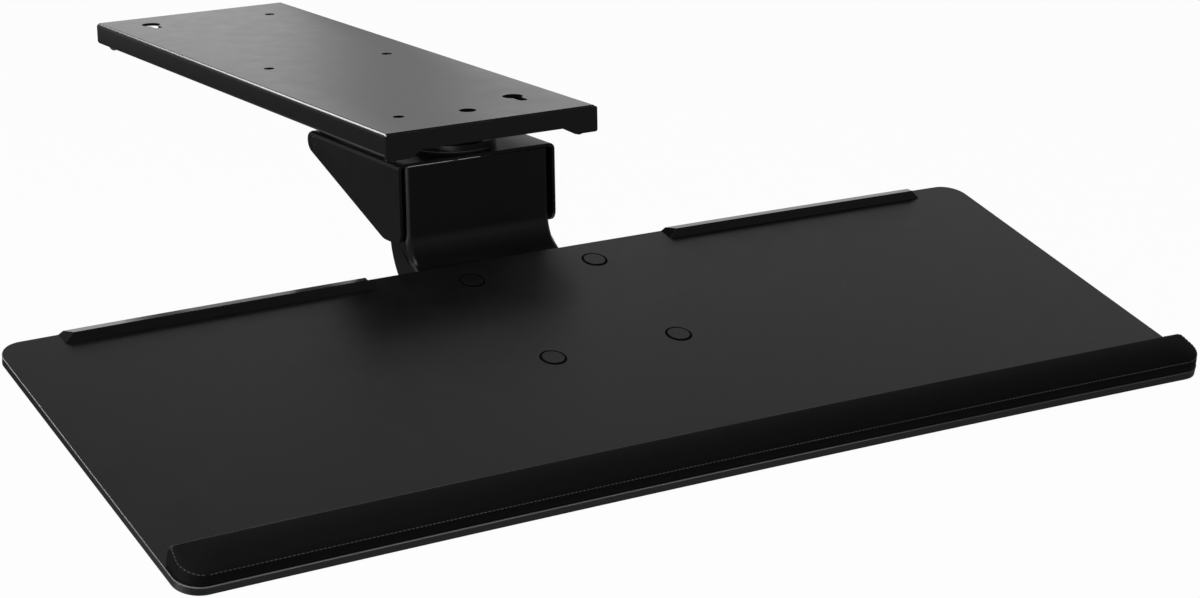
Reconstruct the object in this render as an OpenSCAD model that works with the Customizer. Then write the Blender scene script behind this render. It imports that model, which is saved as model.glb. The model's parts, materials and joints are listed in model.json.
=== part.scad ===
// Keyboard tray for the underside of a desk. It slides, swivels, lowers and tilts.
// Millimetres, +Z up, front toward -Y. The origin is the middle of the face that meets the desk.

/* [Track] */
// Length of the track, front to back
track_length = 444; // [400:2:600]
// Width of the track
track_width = 146.4; // [142:0.2:170]
// Height of the track's sides
track_height = 14.8; // [14:0.1:17]
// Thickness of the track's sheet
track_sheet = 2; // [1.6:0.1:2.2]
// Outer radius of the track's bends
track_bend = 2.6; // [2.4:0.1:4]
// Width of the two lips that carry the runners
lip_width = 18; // [15:0.5:20]
// Distance from the desk face down to the front plate
plate_drop = 0.6; // [0.4:0.1:1]
// Depth of the front plate's ends below the desk face
plate_depth = 16.6; // [15:0.1:19]
// Depth of the front plate's middle below the desk face
plate_middle_depth = 12; // [8:0.5:14]
// Width of the shallow middle of the front plate
plate_middle_width = 97; // [60:1:110]
// Width of each slanted step of the front plate
plate_step = 9; // [4:0.2:12]

/* [Track holes] */
// Distance between the two columns of screw holes
hole_columns = 86.8; // [70:0.2:100]
// Distance between the rows of screw holes
hole_rows = 182; // [150:1:190]
// Diameter of the round screw holes
screw_hole = 7; // [4:0.2:8]
// Width of a keyhole's slot
keyhole_slot = 6; // [4:0.2:7]
// Diameter of a keyhole's round head
keyhole_head = 13; // [9:0.2:15]
// Distance from a keyhole's narrow end to its head
keyhole_reach = 12.5; // [10:0.5:15]
// Diameter of the tool hole near the front
tool_hole = 10.6; // [8:0.2:14]
// Distance from the front of the track to the tool hole
tool_hole_setback = 32; // [26:1:36]

/* [Slide stops] */
// Distance of the front stops from the front of the track
front_stop_setback = 8; // [7.5:0.5:16]
// Distance of the rear stops from the rear of the track
rear_stop_setback = 9; // [6:0.5:30]
// Distance of the stops from the track's sides
stop_inset = 8.7; // [8.4:0.1:12.2]
// Diameter of the stop screws
stop_screw = 4; // [3:0.2:5]
// Diameter of the stop screws' heads
stop_head = 7.6; // [6:0.2:10]
// Height of the stop screws' heads
stop_head_height = 4.3; // [1.4:0.1:4.5]
// Diameter of the rubber bumpers
bumper = 8; // [7:0.2:9]

/* [Carriage] */
// Length of the runners
carriage_length = 119.7; // [90:0.5:140]
// Width of each runner
glide_width = 14; // [12:0.5:15]
// Clearance of the runners in the track
glide_gap = 0.3; // [0.2:0.05:0.5]
// Thickness of the carriage plate
carriage_sheet = 2.5; // [2:0.1:3]
// Distance from the track's top down to the carriage plate
carriage_drop = 7; // [6.6:0.1:7.4]
// Overlap of the carriage plate into each runner
glide_slot = 8; // [5:0.5:10]

/* [Swivel bearing] */
// Distance of the swivel axis from the front of the track
swivel_setback = 54; // [50:1:60]
// Distance from the desk face down to the bearing disc
bearing_drop = 20; // [18:0.5:26]
// Diameter of the bearing disc
bearing_diameter = 56; // [46:1:70]
// Thickness of the bearing disc
bearing_thickness = 4; // [3:0.5:5]
// Diameter of the neck above the bearing disc
bearing_neck = 40; // [30:1:44]
// Thickness of the wear washer
wear_washer = 1; // [0.6:0.1:1.5]
// Diameter of the swivel rivet
rivet = 12; // [10:0.5:14]
// Diameter of the swivel rivet's heads
rivet_head = 20; // [17:0.5:22]
// Height of the swivel rivet's heads
rivet_head_height = 2.4; // [1.8:0.1:2.6]

/* [Swivel bracket] */
// Gap between each cheek and the arm
cheek_gap = 2.1; // [1.6:0.1:3]
// Thickness of the bracket's sheet
bracket_sheet = 2; // [1.6:0.1:2.4]
// Outer radius of the bracket's bends
bracket_bend = 4; // [3:0.1:5]
// Distance from the swivel axis to the bracket's front edge
bracket_front = 33; // [30:0.5:40]
// Length of the bracket's web
web_length = 104; // [98:1:104]
// Height of the cheeks at the front
cheek_depth = 50.4; // [46:0.2:54]
// Radius of the cheeks' front bottom corner
cheek_corner = 7.2; // [4:0.2:10]
// Radius between the cheeks' bottom and their slope
cheek_foot = 16; // [10:0.5:20]
// Length of the cheeks' bottom up to that radius
cheek_bottom = 20; // [16:0.5:26]
// Distance from the swivel axis back to the height pivot
pivot_back = 84; // [82:0.5:90]
// Distance from the web's top down to the height pivot
pivot_drop = 7; // [7:0.2:9]
// Diameter of the height pivot pin
pivot_pin = 8; // [7:0.2:9]

/* [Lift springs] */
// Wire diameter of the springs
spring_wire = 2.5; // [2:0.1:2.6]
// Whole turns of each spring
spring_turns = 6; // [4:1:7]
// Distance from turn to turn
spring_pitch = 3; // [3:0.05:3.2]
// Distance from the arm's side flange in to each spring's outer turn
spring_side_gap = 4.4; // [3.4:0.1:8]
// Length of the leg that rests on the bracket
spring_fixed_leg = 34; // [28:1:36]
// Length of the other leg past the cross rod
spring_free_end = 8; // [4:1:12]

/* [Arm] */
// Width across the arm
arm_width = 100.8; // [92:0.2:110]
// Thickness of the arm's sheet
arm_sheet = 2; // [1.6:0.1:2.4]
// Depth of the arm's side flanges
arm_flange = 22; // [18:0.5:26]
// Gap between the arm and the bracket's web above it
top_stop_gap = 0.6; // [0.4:0.1:1]
// Height of the arm's straight front wall
arm_wall = 42.4; // [36:0.2:46]
// Inner radius of the arm's curve
arm_radius = 22; // [20:0.5:30]
// Angle of the arm's curve
arm_turn = 70; // [66:1:74]
// Length of the web past the curve
arm_toe = 24; // [16:0.5:26]
// Radius of the boss round the height pivot
arm_boss = 6.3; // [6:0.1:6.6]
// Outer radius of the pivot bushes' sleeves
bush_radius = 5.2; // [5:0.1:5.4]
// Diameter of the cross rod
cross_rod = 6; // [5:0.2:7]
// Distance from the height pivot forward to the cross rod
rod_forward = 43; // [38:0.5:50]
// Distance from the height pivot down to the cross rod
rod_down = 10; // [9:0.2:12]

/* [Tilt hinge] */
// Distance of the tilt axis from the tray's rear edge
tilt_inset = 15.3; // [14:0.1:18]
// Distance of the tilt axis below the tray's top
tilt_drop = 25.4; // [25:0.1:27]
// Radius of the ears round the tilt axis
ear_radius = 11; // [10:0.2:12]
// Diameter of the tilt bolt
tilt_bolt_diameter = 8; // [7:0.2:9]
// Diameter of the tilt bolt's head
tilt_head = 15; // [12:0.5:18]
// Height of the tilt bolt's head
tilt_head_height = 4; // [3:0.2:5]
// Wall of the spacer tube
spacer_wall = 2.4; // [1.6:0.1:3]
// Diameter of the friction washers
friction_washer = 20; // [17:0.5:21]

/* [Knob] */
// Radius of the knob to the top of its lobes
knob_radius = 17; // [15:0.5:18]
// Number of lobes
knob_lobes = 6; // [5:1:8]
// Radius of one lobe
knob_lobe = 4.4; // [3.6:0.1:5]
// Length of the knob
knob_length = 21; // [18:0.5:26]
// Size of the nut across its corners
nut_corners = 15; // [13:0.2:16]
// Height of the nut
nut_height = 7; // [6:0.2:8]
// Thickness of the knob's washer
knob_washer_thickness = 1.4; // [1:0.1:2]

/* [Tray] */
// Width of the board
board_width = 660; // [620:1:720]
// Depth of the board, front to back
board_depth = 254; // [230:1:290]
// Thickness of the board
board_thickness = 5.3; // [5:0.1:6]
// Radius of the board's corners
board_corner = 14.2; // [8:0.2:20]
// Angle of the board, front down
tray_angle = 14.54; // [13:0.02:16]
// Distance of the board's rear edge in front of the track
board_forward = 25.6; // [24:0.2:28]
// Distance from the desk face down to the board's rear edge
board_drop = 78.6; // [77:0.2:82]

/* [Tilt bracket] */
// Length of the bracket under the board
mount_length = 126; // [122:1:136]
// Thickness of its sheet
mount_sheet = 2; // [1.6:0.1:2.2]
// Height of its side flanges
mount_flange = 8; // [6:0.5:10]
// Length of the slope from the ears to those flanges
ear_slope = 45; // [38:1:60]
// Outer radius of its bends
mount_bend = 4; // [3:0.1:5]
// Distance of the screws from the bracket's sides
mount_screws_edge = 12.2; // [11.5:0.1:15]
// Distance between the screws along the tray
mount_screws_along = 96.3; // [90:0.1:100]
// Distance of the first screws from the board's rear edge
mount_screws_inset = 20.1; // [18:0.1:24]
// Diameter of the sleeve nuts' flanges
sleeve_flange = 13.4; // [11:0.2:15]
// Diameter of the sleeve nuts' shanks
sleeve_shank = 7.8; // [7:0.2:8.6]
// How far the sleeve nuts stand above the board
sleeve_proud = 0.3; // [0.1:0.1:0.8]
// Diameter of the bracket's screws
mount_screw = 5; // [4:0.2:5.4]

/* [Keyboard stops] */
// Length of each stop
stop_length = 190.5; // [150:0.5:210]
// Depth of each stop
stop_depth = 10.5; // [9:0.1:13]
// Distance from a stop's outer end to the end of the board
stop_end_gap = 37; // [20:0.5:60]
// Height of a stop's rear face
stop_rear_height = 2; // [1:0.1:3]
// Height of a stop's crest
stop_crest_height = 4.5; // [4:0.1:6]
// Distance of the crest from the stop's front
stop_crest_front = 3; // [2:0.1:4]
// Slope length of a stop's ends
stop_end_slope = 6; // [3:0.2:9]

/* [Wrist rest] */
// Gap from the ends of the rest to the ends of the board
rest_end_gap = 2; // [1:0.5:8]
// Gap from the front of the rest to the front of the board
rest_front_gap = 1.5; // [1:0.5:4]
// Depth of the rest, front to back
rest_depth = 24; // [20:0.5:40]
// Height of the rest at its rear
rest_rear_height = 11.5; // [9:0.5:16]
// Height of the rest's front seam
rest_front_height = 6; // [5:0.5:8]
// How far the top of the rest is crowned
rest_crown = 1.2; // [0.6:0.1:2]
// Radius of the rest's front corners
rest_front_corner = 12; // [8:0.5:14]
// Radius of the rest's rear corners
rest_rear_corner = 2.5; // [2:0.5:6]
// Thickness of the stiff strip inside the rest
rest_base_thickness = 2.4; // [2:0.1:3]
// Wall of the pad round the stiff strip
rest_skirt = 2; // [1.5:0.1:3]
// Distance of the outermost screws from the rest's ends
rest_screw_inset = 24; // [16:1:40]
// Diameter of the small screws under the board
trim_screw = 3; // [2.4:0.2:3.4]
// Diameter of their heads
trim_head = 6.4; // [5:0.2:8]

/* [Hidden] */
fit_gap = 0.05;
running_gap = 0.06;
seat_gap = 0.05;
stop_gap = 0.3;
lap = 0.2;
arc_steps = 64;
cut = 1;
$fn = 48;

front_y = -track_length / 2;
swivel_y = front_y + swivel_setback;
hole_radius = screw_hole / 2;
columns_x = hole_columns / 2;
round_holes = [[columns_x, hole_rows], [-columns_x, 0], [columns_x, 0], [-columns_x, -hole_rows]];
keyholes = [[columns_x, -hole_rows], [-columns_x, hole_rows]];
front_plate_corner = 1.5;

front_stop_y = front_y + front_stop_setback;
rear_stop_y = -front_y - rear_stop_setback;
stops_x = track_width / 2 - stop_inset;
stop_places = [for (side = [-1, 1], y = [front_stop_y, rear_stop_y]) [side * stops_x, y]];
stop_screw_top = -3;
bumper_top = -4;

carriage_front = front_stop_y + bumper / 2 + stop_gap;
glide_top = -track_sheet - glide_gap;
glide_bottom = -track_height + track_sheet + glide_gap;
glide_outer = track_width / 2 - track_sheet - glide_gap;
glide_inner = glide_outer - glide_width;
glide_corner = 2;
plate_top = -carriage_drop;
plate_bottom = plate_top - carriage_sheet;
plate_half_width = glide_inner + glide_slot;
plate_inset = 1;
plate_corner = 6;

disc_top = -bearing_drop;
disc_bottom = disc_top - bearing_thickness;
web_top = disc_bottom - wear_washer;
web_bottom = web_top - bracket_sheet;
rivet_washer_thickness = 1;
rivet_washer_margin = 1;
washer_margin = 2;

arm_outer = arm_width / 2;
arm_inner = arm_outer - arm_sheet;
bush_margin = 0.5;

bracket_front_y = swivel_y - bracket_front;
cheek_inner = arm_outer + cheek_gap;
cheek_outer = cheek_inner + bracket_sheet;
bracket_width = 2 * cheek_outer;
cheek_bottom_z = web_top - cheek_depth;
pivot_y = swivel_y + pivot_back;
pivot_z = web_top - pivot_drop;
nose_radius = pivot_drop;
cheek_outline = [
    [bracket_front_y + cheek_corner, cheek_bottom_z + cheek_corner, cheek_corner],
    [bracket_front_y + cheek_bottom, cheek_bottom_z + cheek_foot, cheek_foot],
    [pivot_y, pivot_z, nose_radius],
    [bracket_front_y, web_top, 0],
];

arm_top = web_bottom - top_stop_gap;
arm_bottom = arm_top - arm_wall;
curve_y = bracket_front_y - arm_radius;
flange_y = bracket_front_y + arm_flange;
arm_top_end = 8;
rod_y = pivot_y - rod_forward;
rod_z = pivot_z - rod_down;

board_rear_y = front_y - board_forward;
tilt_y = board_rear_y - tilt_inset * cos(tray_angle) + tilt_drop * sin(tray_angle);
tilt_z = -board_drop - tilt_inset * sin(tray_angle) - tilt_drop * cos(tray_angle);
toe_corner = 6;
toe_flange_end = 12;
open_reach = 60;

bolt_radius = tilt_bolt_diameter / 2;
ear_bore = bolt_radius + running_gap;
knob_face = cheek_outer + knob_washer_thickness + seat_gap;
bolt_overrun = 6;
bolt_end = knob_face + nut_height + bolt_overrun;
knob_floor = 2;
knob_washer_inset = 1;

wire_radius = spring_wire / 2;
spring_radius = web_top + seat_gap + wire_radius - pivot_z;
spring_place = arm_inner - spring_side_gap;
rings_per_turn = 12;
wire_sides = 6;
sleeve_gap = 0.25;
sleeve_radius = spring_radius * cos(180 / rings_per_turn) - wire_radius - sleeve_gap;
sleeve_overrun = 3;
sleeve_end_gap = 1;
rod_contact = [-rod_forward, -rod_down - cross_rod / 2 - seat_gap - wire_radius];
contact_reach = norm(rod_contact);
leave_angle = atan2(rod_contact.y, rod_contact.x) + acos(spring_radius / contact_reach);
spring_sweep = 90 - leave_angle + 360 * spring_turns;
spring_rings = ceil(spring_sweep / 360 * rings_per_turn);
spring_width = spring_pitch * spring_sweep / 360;

mount_screw_x = cheek_outer - mount_screws_edge;
mount_places = [
    for (side = [-1, 1], row = [0, 1])
        [side * mount_screw_x, -mount_screws_inset - row * mount_screws_along]
];
mount_head = 10;
mount_head_height = 2.4;
mount_top = -board_thickness;
mount_bottom = mount_top - mount_sheet;
mount_rear = -3;
mount_corner = 3;
mount_front = mount_rear - mount_length;
mount_outline = [
    [-tilt_inset, -tilt_drop, ear_radius],
    [mount_rear, mount_top, 0],
    [mount_front, mount_top, 0],
    [mount_front + mount_corner, mount_top - mount_flange + mount_corner, mount_corner],
    [-tilt_inset - ear_slope, mount_top - mount_flange, 0],
];
sleeve_recess = 1;
recess_gap = 0.3;
sleeve_bottom = mount_top + 2 * seat_gap;
mount_screw_top = -1.6;
screw_end_gap = 0.4;

rest_half = board_width / 2 - rest_end_gap;
rest_front_y = -board_depth + rest_front_gap;
rest_rear_y = rest_front_y + rest_depth;
rest_profile_steps = 16;
least_corner = 0.5;
trim_depth = 2;
trim_top = 2;
rest_screw_y = (rest_front_y + rest_rear_y) / 2;
stop_screw_y = -stop_depth / 2;
rest_screw_places = [for (i = [-2:2]) [i * (rest_half - rest_screw_inset) / 2, rest_screw_y]];
stop_offset = board_width / 2 - stop_end_gap - stop_length;
stop_screw_parts = [0.2, 0.8];
stop_screw_places = [
    for (side = [-1, 1], part = stop_screw_parts)
        [side * (stop_offset + part * stop_length), stop_screw_y]
];
trim_places = concat(rest_screw_places, stop_screw_places);

// Outward normal of the line that touches circle a and then circle b, each [x, y, radius]
function touch(a, b) =
    atan2(b.y - a.y, b.x - a.x) - acos((a.z - b.z) / norm([b.x - a.x, b.y - a.y]));

function positive_turn(angle) = angle - 360 * floor(angle / 360);

function round_corner(circle, start, sweep) =
    let (steps = max(1, ceil(sweep / 360 * arc_steps)))
    [for (i = [0:steps]) let (a = start + sweep * i / steps)
        [circle.x + circle.z * cos(a), circle.y + circle.z * sin(a)]];

// Outline that runs round a list of circles against the clock; radius 0 is a plain corner
function belt(circles) =
    let (n = len(circles))
    [for (i = [0:n - 1])
        let (here = circles[i])
        let (start = touch(circles[(i + n - 1) % n], here))
        let (sweep = positive_turn(touch(here, circles[(i + 1) % n]) - start))
        for (p = here.z == 0 ? [[here.x, here.y]] : round_corner(here, start, sweep)) p];

function rectangle_circles(x0, x1, y0, y1, lower, upper) = [
    [x0 + lower, y0 + lower, lower],
    [x1 - lower, y0 + lower, lower],
    [x1 - upper, y1 - upper, upper],
    [x0 + upper, y1 - upper, upper],
];

// A flat shape drawn as x and z, pushed along Y
module along_y(start, length) {
    translate([0, start + length, 0])
        rotate([90, 0, 0])
            linear_extrude(length)
                children();
}

// A flat shape drawn as y and z, pushed along X
module along_x(start, length) {
    translate([start, 0, 0])
        rotate([90, 0, 90])
            linear_extrude(length)
                children();
}

module along_z(start, length) {
    translate([0, 0, start])
        linear_extrude(length)
            children();
}

module rod_x(y, z, start, end, radius) {
    translate([start, y, z])
        rotate([0, 90, 0])
            cylinder(h = end - start, r = radius);
}

module tube_x(y, z, start, end, outer, inner) {
    difference() {
        rod_x(y, z, start, end, outer);
        rod_x(y, z, start - cut, end + cut, inner);
    }
}

module tube_z(bottom, top, outer, inner) {
    translate([0, 0, bottom])
        difference() {
            cylinder(h = top - bottom, r = outer);
            translate([0, 0, -cut])
                cylinder(h = top - bottom + 2 * cut, r = inner);
        }
}

module dome(radius, height) {
    steps = 6;
    rotate_extrude()
        polygon(concat(
            [[0, 0]],
            [for (i = [0:steps]) [radius * cos(90 * i / steps), height * sin(90 * i / steps)]]
        ));
}

module in_tray() {
    translate([0, board_rear_y, -board_drop])
        rotate([tray_angle, 0, 0])
            children();
}

module at_each(places) {
    for (p = places)
        translate([p.x, p.y, 0])
            children();
}

module track_section() {
    half = track_width / 2;
    difference() {
        polygon(belt(rectangle_circles(-half, half, -track_height, 0, track_bend, track_bend)));
        polygon(belt(rectangle_circles(
            -half + track_sheet, half - track_sheet, -track_height + track_sheet, -track_sheet,
            track_bend - track_sheet, track_bend - track_sheet
        )));
        translate([-half + lip_width, -track_height - cut])
            square([track_width - 2 * lip_width, track_sheet + 2 * cut]);
    }
}

module front_plate() {
    half = track_width / 2;
    middle = plate_middle_width / 2;
    difference() {
        polygon(belt(rectangle_circles(
            -half, half, -plate_depth, -plate_drop, front_plate_corner, front_plate_corner
        )));
        polygon([
            [-middle - plate_step, -plate_depth],
            [-middle - plate_step, -plate_depth - cut],
            [middle + plate_step, -plate_depth - cut],
            [middle + plate_step, -plate_depth],
            [middle, -plate_middle_depth],
            [-middle, -plate_middle_depth],
        ]);
    }
}

module keyhole() {
    top = track_sheet + 2 * cut;
    cylinder(h = top, d = keyhole_slot);
    translate([-keyhole_slot / 2, 0, 0])
        cube([keyhole_slot, keyhole_reach, top]);
    translate([0, keyhole_reach, 0])
        cylinder(h = top, d = keyhole_head);
}

module track_rail() {
    color("#77797b")
        difference() {
            union() {
                along_y(front_y + track_sheet - lap, track_length - track_sheet + lap)
                    track_section();
                along_y(front_y, track_sheet)
                    front_plate();
            }
            translate([0, 0, -track_sheet - cut]) {
                at_each(round_holes)
                    cylinder(h = track_sheet + 2 * cut, r = hole_radius);
                at_each(keyholes)
                    keyhole();
                translate([0, front_y + tool_hole_setback, 0])
                    cylinder(h = track_sheet + 2 * cut, d = tool_hole);
            }
            translate([0, 0, -track_height - cut])
                at_each(stop_places)
                    cylinder(h = track_sheet + 2 * cut, r = stop_screw / 2 + fit_gap);
        }
}

module slide_stop_screws() {
    color("#3a3b3d")
        at_each(stop_places) {
            translate([0, 0, -track_height])
                mirror([0, 0, 1])
                    dome(stop_head / 2, stop_head_height);
            translate([0, 0, -track_height])
                cylinder(h = track_height + stop_screw_top, d = stop_screw);
        }
}

module slide_stop_bumpers() {
    color("#202022")
        at_each(stop_places)
            tube_z(-track_height + track_sheet, bumper_top, bumper / 2, stop_screw / 2 + fit_gap);
}

module carriage_plate() {
    front = carriage_front + plate_inset;
    back = carriage_front + carriage_length - plate_inset;
    color("#9a9c9e")
        difference() {
            along_z(plate_bottom, carriage_sheet)
                polygon(belt(rectangle_circles(
                    -plate_half_width, plate_half_width, front, back, plate_corner, plate_corner
                )));
            translate([0, swivel_y, plate_bottom - cut])
                cylinder(h = carriage_sheet + 2 * cut, r = rivet / 2 + running_gap);
        }
}

// Runner on the right; the left one is its mirror
module glide() {
    color("#e4e4df")
        along_y(carriage_front, carriage_length)
            difference() {
                polygon(belt(rectangle_circles(
                    glide_inner, glide_outer, glide_bottom, glide_top, glide_corner, glide_corner
                )));
                translate([glide_inner - cut, plate_bottom - fit_gap])
                    square([glide_slot + cut + fit_gap, carriage_sheet + 2 * fit_gap]);
            }
}

module left_glide() {
    mirror([1, 0, 0])
        glide();
}

module right_glide() {
    glide();
}

module bearing_disc() {
    color("#8c8e90")
        translate([0, swivel_y, 0]) {
            tube_z(disc_bottom, disc_top, bearing_diameter / 2, rivet / 2 + running_gap);
            tube_z(disc_top - cut, plate_bottom, bearing_neck / 2, rivet / 2 + running_gap);
        }
}

module bearing_washer() {
    color("#d8d6cc")
        translate([0, swivel_y, 0])
            tube_z(
                web_top + seat_gap, disc_bottom - seat_gap,
                bearing_diameter / 2 - washer_margin, rivet / 2 + running_gap
            );
}

module rivet_washer() {
    color("#b08d4a")
        translate([0, swivel_y, 0])
            tube_z(
                plate_top + seat_gap, plate_top + rivet_washer_thickness,
                rivet_head / 2 + rivet_washer_margin, rivet / 2 + running_gap
            );
}

module swivel_rivet() {
    head_bottom = plate_top + rivet_washer_thickness + seat_gap;
    color("#8a8c8e")
        translate([0, swivel_y, 0]) {
            translate([0, 0, head_bottom])
                dome(rivet_head / 2, rivet_head_height);
            translate([0, 0, web_bottom])
                cylinder(h = head_bottom - web_bottom + cut, d = rivet);
            translate([0, 0, web_bottom])
                mirror([0, 0, 1])
                    dome(rivet_head / 2, rivet_head_height);
        }
}

module bracket_section() {
    difference() {
        polygon(belt(rectangle_circles(
            -cheek_outer, cheek_outer, cheek_bottom_z, web_top, 0, bracket_bend
        )));
        polygon(belt(rectangle_circles(
            -cheek_inner, cheek_inner, cheek_bottom_z - cut, web_bottom,
            0, bracket_bend - bracket_sheet
        )));
    }
}

module swivel_bracket() {
    length = pivot_y + nose_radius - bracket_front_y;
    color("#2b2c2e")
        difference() {
            intersection() {
                along_y(bracket_front_y, length)
                    bracket_section();
                along_x(-cheek_outer, bracket_width)
                    polygon(belt(cheek_outline));
            }
            translate([-cheek_inner, bracket_front_y + web_length, web_bottom - 2 * bracket_sheet])
                cube([2 * cheek_inner, length, 4 * bracket_sheet]);
            translate([0, swivel_y, web_bottom - cut])
                cylinder(h = bracket_sheet + 2 * cut, r = rivet / 2 + fit_gap);
            rod_x(pivot_y, pivot_z, -bracket_width, bracket_width, pivot_pin / 2 + fit_gap);
        }
}

module height_pivot_pin() {
    color("#8f9193")
        rod_x(pivot_y, pivot_z, -cheek_outer, cheek_outer, pivot_pin / 2);
}

module spring_sleeves() {
    inner_end = spring_place - spring_width - sleeve_overrun;
    outer_end = arm_inner - sleeve_end_gap;
    color("#d9d7ce") {
        tube_x(pivot_y, pivot_z, inner_end, outer_end, sleeve_radius, pivot_pin / 2 + fit_gap);
        tube_x(pivot_y, pivot_z, -outer_end, -inner_end, sleeve_radius, pivot_pin / 2 + fit_gap);
    }
}

function coil_point(turned) = [
    spring_place - spring_pitch * turned / 360,
    pivot_y + spring_radius * cos(90 - turned),
    pivot_z + spring_radius * sin(90 - turned),
];

coil_points = [for (i = [0:spring_rings]) coil_point(spring_sweep * i / spring_rings)];
coil_end = coil_points[spring_rings];
free_reach = sqrt(contact_reach ^ 2 - spring_radius ^ 2) + spring_free_end;
spring_path = concat(
    [coil_points[0] - [0, spring_fixed_leg, 0]],
    coil_points,
    [coil_end + free_reach * [0, sin(leave_angle), -cos(leave_angle)]]
);

function unit(v) = v / norm(v);

function path_heading(path, i) =
    unit(path[min(i + 1, len(path) - 1)] - path[max(i - 1, 0)]);

function wire_ring(path, i) =
    let (along = path_heading(path, i))
    let (side = unit(cross([1, 0, 0], along)))
    let (up = cross(along, side))
    [for (k = [0:wire_sides - 1]) let (a = 360 * k / wire_sides)
        path[i] + wire_radius * (cos(a) * side + sin(a) * up)];

// Closed tube of wire along a path, as triangles
module wire(path) {
    rings = len(path);
    points = [for (i = [0:rings - 1]) for (p = wire_ring(path, i)) p];
    walls = [
        for (i = [0:rings - 2], k = [0:wire_sides - 1])
            let (a = i * wire_sides + k)
            let (b = i * wire_sides + (k + 1) % wire_sides)
            for (face = [[a, b, b + wire_sides], [a, b + wire_sides, a + wire_sides]]) face
    ];
    first_cap = [for (k = [1:wire_sides - 2]) [0, k + 1, k]];
    last = (rings - 1) * wire_sides;
    last_cap = [for (k = [1:wire_sides - 2]) [last, last + k, last + k + 1]];
    polyhedron(points = points, faces = concat(walls, first_cap, last_cap));
}

// Distance between turns, measured on the coil's points
coil_gaps = [
    for (i = [0:spring_rings - rings_per_turn + 2])
        for (j = [i + rings_per_turn - 2:spring_rings])
            norm(coil_points[i] - coil_points[j]) - spring_wire
];
echo(str("least gap of a lift spring to itself, mm: ", min(coil_gaps)));

module right_lift_spring() {
    color("#a5a7a9")
        wire(spring_path);
}

module left_lift_spring() {
    mirror([1, 0, 0])
        right_lift_spring();
}

function arc_points(centre, radius, start, end) =
    let (steps = ceil(abs(end - start) / 360 * arc_steps))
    [for (i = [0:steps]) let (a = start + (end - start) * i / steps)
        centre + radius * [cos(a), sin(a)]];

curve_centre = [curve_y, arm_bottom];

// Point past the arm's curve: distance behind the front face, then along the toe
function toe_point(depth, along) =
    curve_centre
    + (arm_radius + depth) * [cos(arm_turn), -sin(arm_turn)]
    + along * [-sin(arm_turn), -cos(arm_turn)];

function corner_between(before, here, after) =
    let (start = touch(before, here))
    round_corner(here, start, positive_turn(touch(here, after) - start));

function flat_corner(point) = [point.x, point.y, 0];

toe_start = flat_corner(toe_point(0, arm_toe));
toe_circle = concat(toe_point(arm_flange - toe_corner, toe_flange_end), [toe_corner]);
ear_circle = [tilt_y, tilt_z, ear_radius];
flange_end = flat_corner(toe_point(arm_flange, 0));
boss_circle = [pivot_y, pivot_z, arm_boss];
arm_top_corner = [pivot_y - arm_top_end, arm_top, 0];
arm_outline = concat(
    [[bracket_front_y, arm_top]],
    arc_points(curve_centre, arm_radius, 0, -arm_turn),
    [toe_point(0, arm_toe)],
    corner_between(toe_start, ear_circle, toe_circle),
    corner_between(ear_circle, toe_circle, flange_end),
    arc_points(curve_centre, arm_radius + arm_flange, -arm_turn, 0),
    corner_between([flange_y, arm_bottom, 0], boss_circle, arm_top_corner),
    [[pivot_y - arm_top_end, arm_top]]
);
// What the fold leaves open: all that lies behind the web and past its end
arm_open = concat(
    [[bracket_front_y + arm_sheet, arm_top + cut]],
    arc_points(curve_centre, arm_radius + arm_sheet, 0, -arm_turn),
    [
        toe_point(arm_sheet, arm_toe),
        toe_point(-open_reach, arm_toe),
        toe_point(-open_reach, arm_toe + open_reach),
        toe_point(open_reach, arm_toe + open_reach),
        [pivot_y + open_reach, tilt_z - open_reach],
        [pivot_y + open_reach, arm_top + open_reach],
        [bracket_front_y + arm_sheet, arm_top + open_reach],
    ]
);

module arm_channel() {
    color("#242527")
        difference() {
            along_x(-arm_outer, arm_width)
                polygon(arm_outline);
            along_x(-arm_inner, 2 * arm_inner)
                polygon(arm_open);
            rod_x(pivot_y, pivot_z, -arm_width, arm_width, bush_radius + fit_gap);
            rod_x(rod_y, rod_z, -arm_width, arm_width, cross_rod / 2 + fit_gap);
            rod_x(tilt_y, tilt_z, -arm_width, arm_width, ear_bore);
        }
}

// Flanged bush on the right; the left one is its mirror
module pivot_bush() {
    bore = pivot_pin / 2 + running_gap;
    flange = arm_boss + bush_margin;
    tube_x(pivot_y, pivot_z, arm_inner, arm_outer + 2 * seat_gap, bush_radius, bore);
    tube_x(pivot_y, pivot_z, arm_outer + seat_gap, cheek_inner - seat_gap, flange, bore);
}

module pivot_bushes() {
    color("#d0cec4") {
        pivot_bush();
        mirror([1, 0, 0])
            pivot_bush();
    }
}

module arm_cross_rod() {
    color("#8f9193")
        rod_x(rod_y, rod_z, -arm_outer, arm_outer, cross_rod / 2);
}

module tilt_spacer() {
    color("#8f9193")
        tube_x(
            tilt_y, tilt_z, -arm_inner + fit_gap, arm_inner - fit_gap,
            ear_bore + fit_gap + spacer_wall, ear_bore + fit_gap
        );
}

module friction_washers() {
    color("#5d4a3a")
        for (side = [0, 1])
            mirror([side, 0, 0])
                tube_x(
                    tilt_y, tilt_z, arm_outer + seat_gap, cheek_inner - seat_gap,
                    friction_washer / 2, ear_bore
                );
}

module tilt_bolt() {
    color("#9a9c9e") {
        rod_x(tilt_y, tilt_z, -cheek_outer, bolt_end, bolt_radius);
        translate([-cheek_outer, tilt_y, tilt_z])
            rotate([0, -90, 0])
                dome(tilt_head / 2, tilt_head_height);
    }
}

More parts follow.
